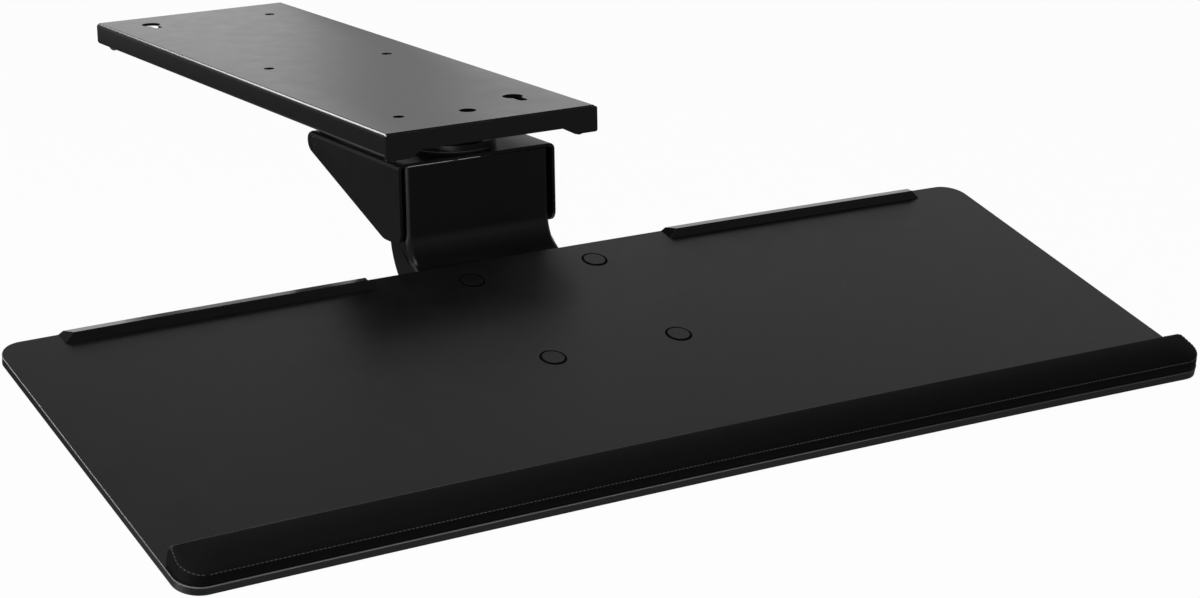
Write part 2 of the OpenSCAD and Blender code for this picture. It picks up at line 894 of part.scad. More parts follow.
module mount_section() {
    deep = tilt_drop + 2 * ear_radius;
    difference() {
        polygon(belt(rectangle_circles(
            -cheek_outer, cheek_outer, -deep, mount_top, 0, mount_bend
        )));
        polygon(belt(rectangle_circles(
            -cheek_inner, cheek_inner, -deep - cut, mount_bottom, 0, mount_bend - mount_sheet
        )));
    }
}

module tilt_bracket() {
    color("#2b2c2e")
        in_tray()
            difference() {
                intersection() {
                    along_y(mount_rear - mount_length, mount_length + 2 * ear_radius)
                        mount_section();
                    along_x(-cheek_outer, bracket_width)
                        polygon(belt(mount_outline));
                }
                at_each(mount_places)
                    translate([0, 0, mount_bottom - cut])
                        cylinder(h = mount_sheet + 2 * cut, r = mount_screw / 2 + fit_gap);
                rod_x(
                    -tilt_inset, -tilt_drop, -bracket_width, bracket_width,
                    bolt_radius + fit_gap
                );
            }
}

module tray_board() {
    half = board_width / 2;
    color("#1f2022")
        in_tray()
            difference() {
                along_z(-board_thickness, board_thickness)
                    polygon(belt(rectangle_circles(
                        -half, half, -board_depth, 0, board_corner, board_corner
                    )));
                at_each(mount_places) {
                    translate([0, 0, -board_thickness - cut])
                        cylinder(h = board_thickness + 2 * cut, r = sleeve_shank / 2 + fit_gap);
                    translate([0, 0, -sleeve_recess])
                        cylinder(h = sleeve_recess + cut, d = sleeve_flange + 2 * recess_gap);
                }
                at_each(trim_places)
                    translate([0, 0, -board_thickness - cut])
                        cylinder(h = board_thickness + 2 * cut, r = trim_screw / 2 + fit_gap);
            }
}

module sleeve_nuts() {
    color("#2a2b2d")
        in_tray()
            at_each(mount_places)
                difference() {
                    union() {
                        translate([0, 0, -sleeve_recess])
                            cylinder(h = sleeve_recess + sleeve_proud, d = sleeve_flange);
                        translate([0, 0, sleeve_bottom])
                            cylinder(h = lap - sleeve_bottom - sleeve_recess, d = sleeve_shank);
                    }
                    translate([0, 0, sleeve_bottom - cut])
                        cylinder(
                            h = mount_screw_top - sleeve_bottom + cut + screw_end_gap,
                            r = mount_screw / 2 + fit_gap
                        );
                }
}

module bracket_screws() {
    color("#8a8c8e")
        in_tray()
            at_each(mount_places) {
                translate([0, 0, mount_bottom])
                    mirror([0, 0, 1])
                        dome(mount_head / 2, mount_head_height);
                translate([0, 0, mount_bottom])
                    cylinder(h = mount_screw_top - mount_bottom, d = mount_screw);
            }
}

// Keyboard stop from its near end along +X
module keyboard_stop() {
    crest_y = -stop_depth + stop_crest_front;
    color("#26272a")
        difference() {
            intersection() {
                along_x(0, stop_length)
                    polygon([
                        [-stop_depth, 0],
                        [0, 0],
                        [0, stop_rear_height],
                        [crest_y, stop_crest_height],
                    ]);
                along_y(-stop_depth - cut, stop_depth + 2 * cut)
                    polygon([
                        [0, 0],
                        [stop_length, 0],
                        [stop_length - stop_end_slope, stop_crest_height],
                        [stop_end_slope, stop_crest_height],
                    ]);
            }
            for (part = stop_screw_parts)
                translate([part * stop_length, stop_screw_y, -cut])
                    cylinder(h = cut + trim_top + lap, r = trim_screw / 2 + fit_gap);
        }
}

module right_keyboard_stop() {
    in_tray()
        translate([stop_offset, 0, 0])
            keyboard_stop();
}

module left_keyboard_stop() {
    mirror([1, 0, 0])
        right_keyboard_stop();
}

module rest_plan(inset) {
    half = rest_half - inset;
    polygon(belt(rectangle_circles(
        -half, half, rest_front_y + inset, rest_rear_y - inset,
        rest_front_corner - inset, max(rest_rear_corner - inset, least_corner)
    )));
}

module rest_base() {
    color("#3a3b3d")
        in_tray()
            difference() {
                along_z(0, rest_base_thickness)
                    rest_plan(rest_skirt + fit_gap);
                at_each(rest_screw_places)
                    translate([0, 0, -cut])
                        cylinder(h = cut + trim_top + lap, r = trim_screw / 2 + fit_gap);
            }
}

// The pad's crowned top, from its rear to its front seam
function rest_top(part) = [
    rest_rear_y - part * rest_depth,
    rest_rear_height + (rest_front_height - rest_rear_height) * part + rest_crown * sin(180 * part),
];

module wrist_pad() {
    pocket = rest_base_thickness + fit_gap;
    color("#18191b")
        in_tray()
            difference() {
                intersection() {
                    along_x(-rest_half, 2 * rest_half)
                        polygon(concat(
                            [[rest_front_y, fit_gap], [rest_rear_y, fit_gap]],
                            [for (i = [0:rest_profile_steps]) rest_top(i / rest_profile_steps)]
                        ));
                    along_z(0, rest_rear_height + 2 * rest_crown)
                        rest_plan(0);
                }
                along_z(-cut, pocket + cut)
                    rest_plan(rest_skirt);
            }
}

module trim_screws() {
    color("#8a8c8e")
        in_tray()
            at_each(trim_places) {
                translate([0, 0, -board_thickness])
                    mirror([0, 0, 1])
                        dome(trim_head / 2, trim_depth);
                translate([0, 0, -board_thickness])
                    cylinder(h = board_thickness + trim_top, d = trim_screw);
            }
}

module tilt_knob() {
    core = knob_radius - knob_lobe;
    color("#1c1d1f")
        difference() {
            translate([knob_face, tilt_y, tilt_z])
                rotate([90, 0, 90])
                    linear_extrude(knob_length) {
                        circle(core);
                        for (i = [0:knob_lobes - 1])
                            rotate(360 * i / knob_lobes)
                                translate([core, 0])
                                    circle(knob_lobe);
                    }
            along_x(knob_face - cut, nut_height + cut + fit_gap)
                translate([tilt_y, tilt_z])
                    circle(d = nut_corners + 2 * fit_gap, $fn = 6);
            rod_x(tilt_y, tilt_z, knob_face, bolt_end + knob_floor, bolt_radius + 2 * running_gap);
        }
}

module knob_nut() {
    color("#9a9c9e")
        difference() {
            along_x(knob_face, nut_height)
                translate([tilt_y, tilt_z])
                    circle(d = nut_corners, $fn = 6);
            rod_x(tilt_y, tilt_z, knob_face - cut, knob_face + nut_height + cut, ear_bore);
        }
}

module knob_washer() {
    color("#9a9c9e")
        tube_x(
            tilt_y, tilt_z, cheek_outer + fit_gap, cheek_outer + knob_washer_thickness,
            ear_radius - knob_washer_inset, ear_bore
        );
}

track_rail();
slide_stop_screws();
slide_stop_bumpers();
carriage_plate();
left_glide();
right_glide();
bearing_disc();
bearing_washer();
rivet_washer();
swivel_rivet();
swivel_bracket();
height_pivot_pin();
spring_sleeves();
left_lift_spring();
right_lift_spring();
arm_channel();
pivot_bushes();
arm_cross_rod();
tilt_spacer();
friction_washers();
tilt_bolt();
tilt_bracket();
tray_board();
sleeve_nuts();
bracket_screws();
left_keyboard_stop();
right_keyboard_stop();
rest_base();
wrist_pad();
trim_screws();
tilt_knob();
knob_nut();
knob_washer();
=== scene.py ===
"""Looks of the keyboard tray: its sheet metal, board, stops, wrist rest, springs, screws and stage.

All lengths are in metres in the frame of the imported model: +Z up, front toward -Y.
"""
import json
import math

import bmesh
import bpy
import numpy as np
from bpy.props import FloatProperty, FloatVectorProperty, IntProperty, PointerProperty
from mathutils import Matrix, Vector


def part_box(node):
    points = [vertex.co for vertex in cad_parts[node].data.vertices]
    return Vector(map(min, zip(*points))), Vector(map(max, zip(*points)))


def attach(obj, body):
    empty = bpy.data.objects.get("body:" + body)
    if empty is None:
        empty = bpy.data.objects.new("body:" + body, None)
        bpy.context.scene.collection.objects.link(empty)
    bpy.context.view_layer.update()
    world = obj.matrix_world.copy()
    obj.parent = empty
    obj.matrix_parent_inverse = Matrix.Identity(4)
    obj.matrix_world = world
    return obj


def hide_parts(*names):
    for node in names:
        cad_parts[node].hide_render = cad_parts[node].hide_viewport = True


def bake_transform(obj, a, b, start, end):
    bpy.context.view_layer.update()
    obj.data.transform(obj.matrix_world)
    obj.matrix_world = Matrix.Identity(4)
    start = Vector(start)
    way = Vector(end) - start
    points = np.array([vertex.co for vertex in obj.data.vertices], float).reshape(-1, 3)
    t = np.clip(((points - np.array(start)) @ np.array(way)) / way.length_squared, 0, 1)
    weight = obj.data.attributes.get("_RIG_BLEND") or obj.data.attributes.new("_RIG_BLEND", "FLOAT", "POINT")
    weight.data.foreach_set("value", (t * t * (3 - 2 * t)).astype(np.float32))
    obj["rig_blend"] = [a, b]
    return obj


bl_info = {
    "name": "Keyboard Tray Looks",
    "version": (1, 0, 0),
    "blender": (4, 5, 0),
    "location": "View3D > Sidebar > Tray",
    "description": "Dresses the packed keyboard tray with its finished pieces and stage",
    "category": "Object",
}

MM = 0.001
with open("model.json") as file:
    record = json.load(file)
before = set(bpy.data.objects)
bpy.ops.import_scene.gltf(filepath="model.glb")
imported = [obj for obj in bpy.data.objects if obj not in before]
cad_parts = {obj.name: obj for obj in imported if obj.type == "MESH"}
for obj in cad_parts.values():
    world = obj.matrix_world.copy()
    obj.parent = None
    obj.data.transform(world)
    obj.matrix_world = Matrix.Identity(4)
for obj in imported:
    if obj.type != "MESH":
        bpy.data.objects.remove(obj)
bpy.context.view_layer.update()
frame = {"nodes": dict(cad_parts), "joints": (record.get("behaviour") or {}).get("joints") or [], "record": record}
nodes = frame["nodes"]


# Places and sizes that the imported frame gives

def joint_place(name):
    """The point that a hinge turns about."""
    return Vector(next(j["pos_m"] for j in frame["joints"] if j["name"] == name))


HEIGHT_PIVOT = joint_place("height_swing")
TILT_PIVOT = joint_place("tilt")

# The tray's own frame: its origin is the middle of the board's rear edge, on its top face
TRAY_ANGLE = math.radians(14.54)
BOARD_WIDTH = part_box("tray_board")[1].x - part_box("tray_board")[0].x
TRAY_ORIGIN = Vector((0, -247.6 * MM, -78.6 * MM))
TRAY_PLACE = Matrix.Translation(TRAY_ORIGIN) @ Matrix.Rotation(TRAY_ANGLE, 4, "X")


# Sizes and colours that a user would change

def length(name, description, default, low=0.0, high=1.0):
    return FloatProperty(
        name=name, description=description, default=default, min=low, max=high,
        subtype="DISTANCE", unit="LENGTH", precision=4,
    )


def colour(name, description, default):
    return FloatVectorProperty(
        name=name, description=description, default=default, size=3, min=0, max=1, subtype="COLOR",
    )


def share(name, description, default):
    return FloatProperty(
        name=name, description=description, default=default, min=0, max=1, subtype="FACTOR",
    )


class TraySizes(bpy.types.PropertyGroup):
    """Edge roundings, the board's form and the light bead in its edge that paints a highlight, the stops' ends,
    the dark rings of painted shade round the nuts and the seam.
    """
    sheet_edge: length("Sheet edge", "Rounding of cut sheet edges", 0.3 * MM, 0.05 * MM, 0.8 * MM)
    board_edge: length("Board edge", "Rounding of the board's edges", 1.0 * MM, 0.2 * MM, 2.4 * MM)
    board_bow: length("Board bow", "How far the board's ends hang", 2.3 * MM, 0, 4 * MM)
    board_depth: length("Board depth", "Depth of the board", 254 * MM, 200 * MM, 300 * MM)
    board_corner: length("Board corner", "Radius of its corners", 14.2 * MM, 4 * MM, 30 * MM)
    # The bead in the board's edge is a painted highlight: a light strip for the shine on its rounded top edge
    painted_edge_highlight: length("Painted edge highlight", "Radius of the bead in its edge", 0.5 * MM, 0.1 * MM, MM)
    painted_highlight_drop: length("Painted highlight drop", "Depth of the bead below its top", 0.7 * MM, 0.4 * MM, 3 * MM)
    arm_bend: length("Arm bend", "Outer radius of the arm's folds", 4.0 * MM, 2.2 * MM, 5 * MM)
    stop_edge: length("Stop edge", "Rounding of the keyboard stops", 0.35 * MM, 0.1 * MM, 1 * MM)
    stop_steep: length("Stop slope", "How far right the crest's end moves", 3.4 * MM, 0, 5 * MM)
    stop_extra: length("Stop extra", "How far right a stop's foot moves", 1.4 * MM, 0, 2 * MM)
    hardware_edge: length("Hardware edge", "Rounding of small parts", 0.3 * MM, 0.05 * MM, 0.6 * MM)
    ring_middle: length("Nut radius", "Radius of the nuts' flanges", 6.7 * MM, 5 * MM, 8 * MM)
    # The dark rings round the nuts are painted shade for the gaps round their flanges
    nut_shade_ring: length("Nut shade ring", "Radius of the dark rings round them", 0.95 * MM, 0.1 * MM, MM)
    stitch: length("Stitch", "Length of a stitch of the rest's seam", 1.7 * MM, 0.8 * MM, 4 * MM)
    thread: length("Thread", "Radius of the seam's thread", 0.24 * MM, 0.1 * MM, 0.6 * MM)
    wire_sides: IntProperty(
        name="Wire sides", description="Sides of the springs' wire", default=14, min=6, max=32)


class TrayColours(bpy.types.PropertyGroup):
    """Base colours and gloss of the finishes, with the light colour of the painted highlight along the board's
    edge.
    """
    track: colour("Track", "Paint of the track", (0.008, 0.008, 0.0085))
    paint: colour("Paint", "Paint of the bracket and the arm", (0.004, 0.004, 0.0043))
    board: colour("Board", "Board and stops", (0.0038, 0.0038, 0.004))
    # Light colour of the bead that paints a highlight along the board's edge
    painted_edge_highlight: colour("Painted edge highlight", "Bead in the board's edge", (0.24, 0.24, 0.244))
    cover: colour("Cover", "Cover of the wrist rest", (0.0033, 0.0033, 0.0034))
    thread: colour("Thread", "Thread of the rest's seam", (0.062, 0.062, 0.062))
    zinc: colour("Zinc", "Plated steel", (0.56, 0.57, 0.58))
    slide: colour("Runner", "Runners and washers", (0.74, 0.73, 0.69))
    bronze: colour("Bronze", "Rivet washer", (0.55, 0.38, 0.18))
    # A tenth of this colour is the painted shade of the rings round the nuts
    rubber: colour("Rubber", "Bumpers, rings and knob", (0.012, 0.012, 0.012))
    friction: colour("Friction", "Friction washers", (0.09, 0.06, 0.045))
    board_roughness: share("Board roughness", "Gloss of the board", 0.3)
    track_roughness: share("Track roughness", "Gloss of the track", 0.22)


def sizes():
    return bpy.context.scene.tray_sizes


def colours():
    return bpy.context.scene.tray_colours


# Finishes

def new_material(name):
    """A material with its shader and the object's own coordinates."""
    m = bpy.data.materials.new(name)
    m.use_nodes = True
    tree = m.node_tree
    shader = tree.nodes["Principled BSDF"]
    place = tree.nodes.new("ShaderNodeTexCoord").outputs["Object"]
    return m, tree, shader, place


def noise(tree, place, scale, detail=3.0, roughness=0.5):
    """Cloudy values from 0 to 1, finer with a larger scale."""
    n = tree.nodes.new("ShaderNodeTexNoise")
    n.inputs["Scale"].default_value = scale
    n.inputs["Detail"].default_value = detail
    n.inputs["Roughness"].default_value = roughness
    tree.links.new(place, n.inputs["Vector"])
    return n.outputs["Fac"]


def spread(tree, value, low, high, start=0.3, end=0.7):
    """Value from start to end becomes low to high."""
    n = tree.nodes.new("ShaderNodeMapRange")
    n.inputs["From Min"].default_value = start
    n.inputs["From Max"].default_value = end
    n.inputs["To Min"].default_value = low
    n.inputs["To Max"].default_value = high
    tree.links.new(value, n.inputs["Value"])
    return n.outputs["Result"]


def tint(tree, value, dark, light):
    """A colour between dark and light by value."""
    n = tree.nodes.new("ShaderNodeMix")
    n.data_type = "RGBA"
    n.inputs["A"].default_value = (*dark, 1)
    n.inputs["B"].default_value = (*light, 1)
    tree.links.new(value, n.inputs["Factor"])
    return n.outputs["Result"]


def bump(tree, shader, height, distance, strength=1.0):
    """The shader's normals follow a height, whose full range is the given distance."""
    n = tree.nodes.new("ShaderNodeBump")
    n.inputs["Strength"].default_value = strength
    n.inputs["Distance"].default_value = distance
    tree.links.new(height, n.inputs["Height"])
    tree.links.new(n.outputs["Normal"], shader.inputs["Normal"])


def grained(name, base, roughness, grain, depth, specular=0.5, metallic=0.0, vary=0.12, worn=0.06):
    """A finish with cloudy colour, uneven gloss and a fine grain of the given size."""
    m, tree, shader, place = new_material(name)
    clouds = noise(tree, place, 14.0, 4.0)
    dark = [c * (1 - vary) for c in base]
    light = [min(1.0, c * (1 + vary)) for c in base]
    tree.links.new(tint(tree, spread(tree, clouds, 0, 1), dark, light), shader.inputs["Base Color"])
    smears = noise(tree, place, 55.0, 5.0, 0.6)
    tree.links.new(
        spread(tree, smears, roughness - worn, roughness + worn), shader.inputs["Roughness"]
    )
    shader.inputs["Metallic"].default_value = metallic
    shader.inputs["Specular IOR Level"].default_value = specular
    bump(tree, shader, noise(tree, place, 1 / grain, 2.0), depth)
    return m


def leathery(name, base, pebble):
    """Soft cover sheet: small round pebbles, with creases between them. Its colour is painted shade: darker in the
    creases, lighter on the pebbles' tops.
    """
    m, tree, shader, place = new_material(name)
    cells = tree.nodes.new("ShaderNodeTexVoronoi")
    cells.feature = "SMOOTH_F1"
    cells.inputs["Scale"].default_value = 1 / pebble
    tree.links.new(place, cells.inputs["Vector"])
    deep = spread(tree, cells.outputs["Distance"], 1, 0, 0.1, 0.7)
    dark = [c * 0.8 for c in base]
    light = [c * 1.25 for c in base]
    # Painted shade: the colour follows the pebbles' height, dark in the creases and light on top
    tree.links.new(tint(tree, deep, dark, light), shader.inputs["Base Color"])
    clouds = noise(tree, place, 30.0, 4.0)
    tree.links.new(spread(tree, clouds, 0.5, 0.62), shader.inputs["Roughness"])
    shader.inputs["Specular IOR Level"].default_value = 0.1
    bump(tree, shader, deep, 0.03 * MM, 0.6)
    return m


_finishes = {}


def finish(name):
    """Each finish of the tray, made once."""
    if name not in _finishes:
        c = colours()
        makers = {
            "track_paint": lambda: grained(
                "Track Paint", c.track, c.track_roughness, 1.1 * MM, 0.004 * MM, vary=0.06, worn=0.02),
            "black_paint": lambda: grained(
                "Black Paint", c.paint, 0.3, 1.3 * MM, 0.006 * MM, specular=0.4, worn=0.03),
            "plated_steel": lambda: grained(
                "Plated Steel", c.zinc, 0.34, 0.6 * MM, 0.008 * MM, metallic=1.0, worn=0.08),
            "spring_steel": lambda: grained(
                "Spring Steel", [x * 0.5 for x in c.zinc], 0.3, 0.5 * MM, 0.006 * MM, metallic=1.0),
            "bronze": lambda: grained(
                "Bronze", c.bronze, 0.35, 0.7 * MM, 0.01 * MM, metallic=1.0),
            "slide_plastic": lambda: grained(
                "Runner Plastic", c.slide, 0.48, 0.9 * MM, 0.01 * MM, vary=0.05),
            "friction_disc": lambda: grained(
                "Friction Disc", c.friction, 0.8, 0.5 * MM, 0.05 * MM, specular=0.2, vary=0.3),
            "bumper_rubber": lambda: grained(
                "Rubber", [x * 0.3 for x in c.rubber], 0.7, 0.8 * MM, 0.03 * MM, specular=0.3),
            # Near-black and almost without gloss: painted shade for the gaps round the nuts
            "painted_gap_shade": lambda: grained(
                "Rings", [x * 0.1 for x in c.rubber], 0.9, 0.8 * MM, 0.02 * MM, specular=0.04),
            "board_plastic": lambda: grained(
                "Board", c.board, c.board_roughness, 0.45 * MM, 0.006 * MM, vary=0.06, worn=0.03),
            "stop_plastic": lambda: grained(
                "Stops", c.paint, 0.08, 0.5 * MM, 0.002 * MM, specular=0.3, vary=0.06, worn=0.02),
            # A light finish that paints the highlight along the board's edge
            "painted_edge_highlight": lambda: grained(
                "Painted Edge Highlight", c.painted_edge_highlight, 0.24, 0.6 * MM, 0.004 * MM, vary=0.1, worn=0.03),
            "knob_plastic": lambda: grained(
                "Knob", c.rubber, 0.5, 0.6 * MM, 0.03 * MM, specular=0.4),
            "pad_cover": lambda: leathery("Cover", c.cover, 0.9 * MM),
            "seam_thread": lambda: grained(
                "Thread", c.thread, 0.5, 0.4 * MM, 0.02 * MM, vary=0.3),
        }
        _finishes[name] = makers[name]()
    return _finishes[name]


def slot_of(node):
    """The material slot that the record gives a CAD node."""
    return next(s["material_slot"] for s in frame["record"]["subparts"] if s["node"] == node)


def paint(obj, slot):
    obj.data.materials.clear()
    obj.data.materials.append(finish(slot))


# Surfaces

def add_piece(name, points, faces, slot, body, stands_for=(), smooth_angle=40):
    """A mesh piece from arrays, with its finish, its body and the CAD nodes that it stands for."""
    mesh = bpy.data.meshes.new(name)
    mesh.from_pydata(np.asarray(points, float).tolist(), [], faces)
    mesh.validate()
    obj = bpy.data.objects.new(name, mesh)
    bpy.context.scene.collection.objects.link(obj)
    finish_mesh(mesh, smooth_angle)
    paint(obj, slot)
    if body:
        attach(obj, body)
    if stands_for:
        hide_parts(*stands_for)
    return obj


def finish_mesh(mesh, smooth_angle):
    """Doubles merged, faces outwards, smooth except where the surface breaks."""
    b = bmesh.new()
    b.from_mesh(mesh)
    bmesh.ops.remove_doubles(b, verts=b.verts, dist=1e-7)
    bmesh.ops.dissolve_degenerate(b, edges=b.edges, dist=1e-7)
    bmesh.ops.recalc_face_normals(b, faces=b.faces)
    b.to_mesh(mesh)
    b.free()
    mesh.polygons.foreach_set("use_smooth", [True] * len(mesh.polygons))
    mesh.set_sharp_from_angle(angle=math.radians(smooth_angle))


def grid_faces(rows, columns, wrap_rows=False, wrap_columns=False):
    """Four-sided faces over a grid of points numbered row by row."""
    r = np.arange(rows if wrap_rows else rows - 1)
    c = np.arange(columns if wrap_columns else columns - 1)
    r, c = (g.ravel() for g in np.meshgrid(r, c, indexing="ij"))
    r2, c2 = (r + 1) % rows, (c + 1) % columns
    quads = np.stack([r * columns + c, r * columns + c2, r2 * columns + c2, r2 * columns + c], 1)
    return quads.tolist()


def join_parts(parts):
    """Several (points, faces) as one, with the faces renumbered."""
    points, faces, count = [], [], 0
    for p, f in parts:
        points.append(np.asarray(p, float).reshape(-1, 3))
        faces += [[i + count for i in face] for face in f]
        count += len(points[-1])
    return np.concatenate(points), faces


def arc(centre, radius, start, end, steps):
    """Points on a circle from one angle to another, in degrees."""
    a = np.radians(np.linspace(start, end, steps + 1))
    return np.stack([centre[0] + radius * np.cos(a), centre[1] + radius * np.sin(a)], 1)


def placed(points, matrix):
    """Points carried by a 4 by 4 matrix."""
    m = np.array(matrix, float)
    return np.asarray(points) @ m[:3, :3].T + m[:3, 3]


def dressed_copy(name, node, edge, smooth_angle=32, bent=False, folds=0.0, segments=2):
    """A CAD node's own shape, merged, with its sharp edges rounded. A bent one follows the
    board's bow, and folds is the radius of the outer folds that fold_weights finds."""
    mesh = nodes[node].data.copy()
    mesh.name = name
    b = bmesh.new()
    b.from_mesh(mesh)
    bmesh.ops.remove_doubles(b, verts=b.verts, dist=2e-6)
    bmesh.ops.dissolve_limit(b, angle_limit=math.radians(0.5), verts=b.verts, edges=b.edges)
    if bent:
        for x in BOW_CUTS:
            bmesh.ops.bisect_plane(
                b, geom=[*b.verts, *b.edges, *b.faces], plane_co=(x, 0, 0), plane_no=(1, 0, 0))
    b.to_mesh(mesh)
    b.free()
    for layer in [a.name for a in mesh.attributes if a.name.startswith("custom_normal")]:
        mesh.attributes.remove(mesh.attributes[layer])
    if bent:
        points = np.empty(len(mesh.vertices) * 3)
        mesh.vertices.foreach_get("co", points)
        mesh.vertices.foreach_set("co", droop(points.reshape(-1, 3)).ravel())
    mesh.polygons.foreach_set("use_smooth", [True] * len(mesh.polygons))
    mesh.set_sharp_from_angle(angle=math.radians(smooth_angle))
    obj = bpy.data.objects.new(name, mesh)
    bpy.context.scene.collection.objects.link(obj)
    if folds:
        layer = mesh.attributes.new("bevel_weight_edge", "FLOAT", "EDGE")
        layer.data.foreach_set("value", fold_weights(mesh))
        bend = obj.modifiers.new("Folds", "BEVEL")
        bend.width = folds
        bend.segments = 6
        bend.limit_method = "WEIGHT"
        bend.use_clamp_overlap = False
    bevel = obj.modifiers.new("Edges", "BEVEL")
    bevel.width = edge
    bevel.segments = segments
    bevel.limit_method = "ANGLE"
    bevel.angle_limit = math.radians(smooth_angle)
    bevel.harden_normals = True
    bevel.use_clamp_overlap = True
    paint(obj, slot_of(node))
    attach(obj, body_of(node))
    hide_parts(node)
    return obj


# The arm's folds: least width of a web's face, most upward share of its normal, least sideways
# share of a flange's normal, height of the toe, and the bevel weight of a fold's inside
WEB_WIDTH = 90 * MM
WEB_MOST_UP = 0.96
FLANGE_SIDEWAYS = 0.99
TOE_HEIGHT = 30 * MM
FOLD_INSIDE = 0.45


def fold_weights(mesh):
    """Bevel weights for the arm's folds: the edges between the web, which is as wide as the arm,
    and its flanges. A fold's inside has 0.45 times the outside's radius, and so has the toe."""
    points = np.array([v.co[:] for v in mesh.vertices])
    webs, edges = set(), {}
    for face in mesh.polygons:
        y, z = face.normal.y, face.normal.z
        wide = np.ptp(points[list(face.vertices), 0]) > WEB_WIDTH
        if wide and abs(z) < WEB_MOST_UP and y * z <= 1e-4:
            webs.add(face.index)
        for key in face.edge_keys:
            edges.setdefault(key, []).append(face.index)
    widest = np.abs(points[:, 0]).max()
    toe = points[:, 2].min() + TOE_HEIGHT
    weights = []
    for edge in mesh.edges:
        pair = edges.get(tuple(sorted(edge.vertices)), [])
        one_web = len(pair) == 2 and (pair[0] in webs) != (pair[1] in webs)
        sides = [mesh.polygons[i] for i in pair if i not in webs]
        fold = one_web and sides and abs(sides[0].normal.x) > FLANGE_SIDEWAYS
        ends = points[list(edge.vertices)]
        outer = np.abs(ends[:, 0]).min() > widest - 0.1 * MM
        near_toe = ends[:, 2].mean() < toe
        weights.append((1.0 if outer and not near_toe else FOLD_INSIDE) if fold else 0.0)
    return weights


def body_of(node):
    """The moving body that a CAD node belongs to."""
    return next(b for b, members in frame["record"]["behaviour"]["bodies"].items() if node in members)


BOW_CUTS = [x * MM for x in range(-320, 321, 20)]


def droop(points):
    """Points of the tray with its bow: each sinks, along the tray's own up, by the bow times the
    square of its share of the way out to the board's end."""
    p = placed(points, TRAY_PLACE.inverted())
    p[:, 2] -= sizes().board_bow * (p[:, 0] / (BOARD_WIDTH / 2)) ** 2
    return placed(p, TRAY_PLACE)


def tube_parts(path, radius, sides, round_ends=True):
    """A round wire along a path: at each point a circle across the path's direction, and at the
    ends rings that shrink as a quarter circle does."""
    path = np.asarray(path, float)
    along = np.gradient(path, axis=0)
    along /= np.linalg.norm(along, axis=1, keepdims=True)
    side = np.cross(along, (1.0, 0.03, 0.02))
    side /= np.linalg.norm(side, axis=1, keepdims=True)
    up = np.cross(along, side)
    centres, radii, rows = list(path), [radius] * len(path), list(range(len(path)))
    if round_ends:
        lean = np.radians((22, 45, 68, 88))
        for k in lean:
            centres.append(path[-1] + along[-1] * radius * np.sin(k))
            radii.append(radius * np.cos(k))
            rows.append(len(path) - 1)
            centres.insert(0, path[0] - along[0] * radius * np.sin(k))
            radii.insert(0, radius * np.cos(k))
            rows.insert(0, 0)
    a = np.linspace(0, 2 * math.pi, sides, endpoint=False)
    ring = np.cos(a)[None, :, None] * side[rows, None] + np.sin(a)[None, :, None] * up[rows, None]
    points = np.array(centres)[:, None] + np.array(radii)[:, None, None] * ring
    n, m = len(centres), sides
    faces = grid_faces(n, m, wrap_columns=True)
    faces += [list(range(m)), list(range((n - 1) * m, n * m))]
    return points.reshape(-1, 3), faces


# Pieces

HARDWARE = {
    "runner_left": "left_glide", "runner_right": "right_glide", "carriage": "carriage_plate",
    "disc": "bearing_disc", "disc_washer": "bearing_washer", "washer_bronze": "rivet_washer",
    "rivet": "swivel_rivet", "sleeves": "spring_sleeves", "bushes": "pivot_bushes",
    "rod": "arm_cross_rod", "spacer": "tilt_spacer", "friction": "friction_washers",
    "bolt": "tilt_bolt", "nuts_flanged": "sleeve_nuts", "washer_knob": "knob_washer",
    "bumpers": "slide_stop_bumpers",
}


def make_track():
    dressed_copy("track", "track_rail", sizes().sheet_edge)
    dressed_copy("slide_stops", "slide_stop_screws", 0.9 * MM, segments=4)


def make_brackets():
    edge = sizes().sheet_edge
    dressed_copy("bracket", "swivel_bracket", edge)
    dressed_copy("tilt_plate", "tilt_bracket", edge)
    dressed_copy("pin", "height_pivot_pin", 0.8 * MM, segments=3)


def make_arm():
    dressed_copy("arm", "arm_channel", 0.25 * MM, folds=sizes().arm_bend)


def make_hardware():
    for name, node in HARDWARE.items():
        dressed_copy(name, node, sizes().hardware_edge)


SPRING_WIRE = 1.25 * MM
SPRING_PITCH = 3.0 * MM
SPRING_PLACE = 44.0 * MM
SPRING_FIXED_LEG = 34 * MM
SPRING_FREE_END = 8 * MM
SPRING_TURNS = 6


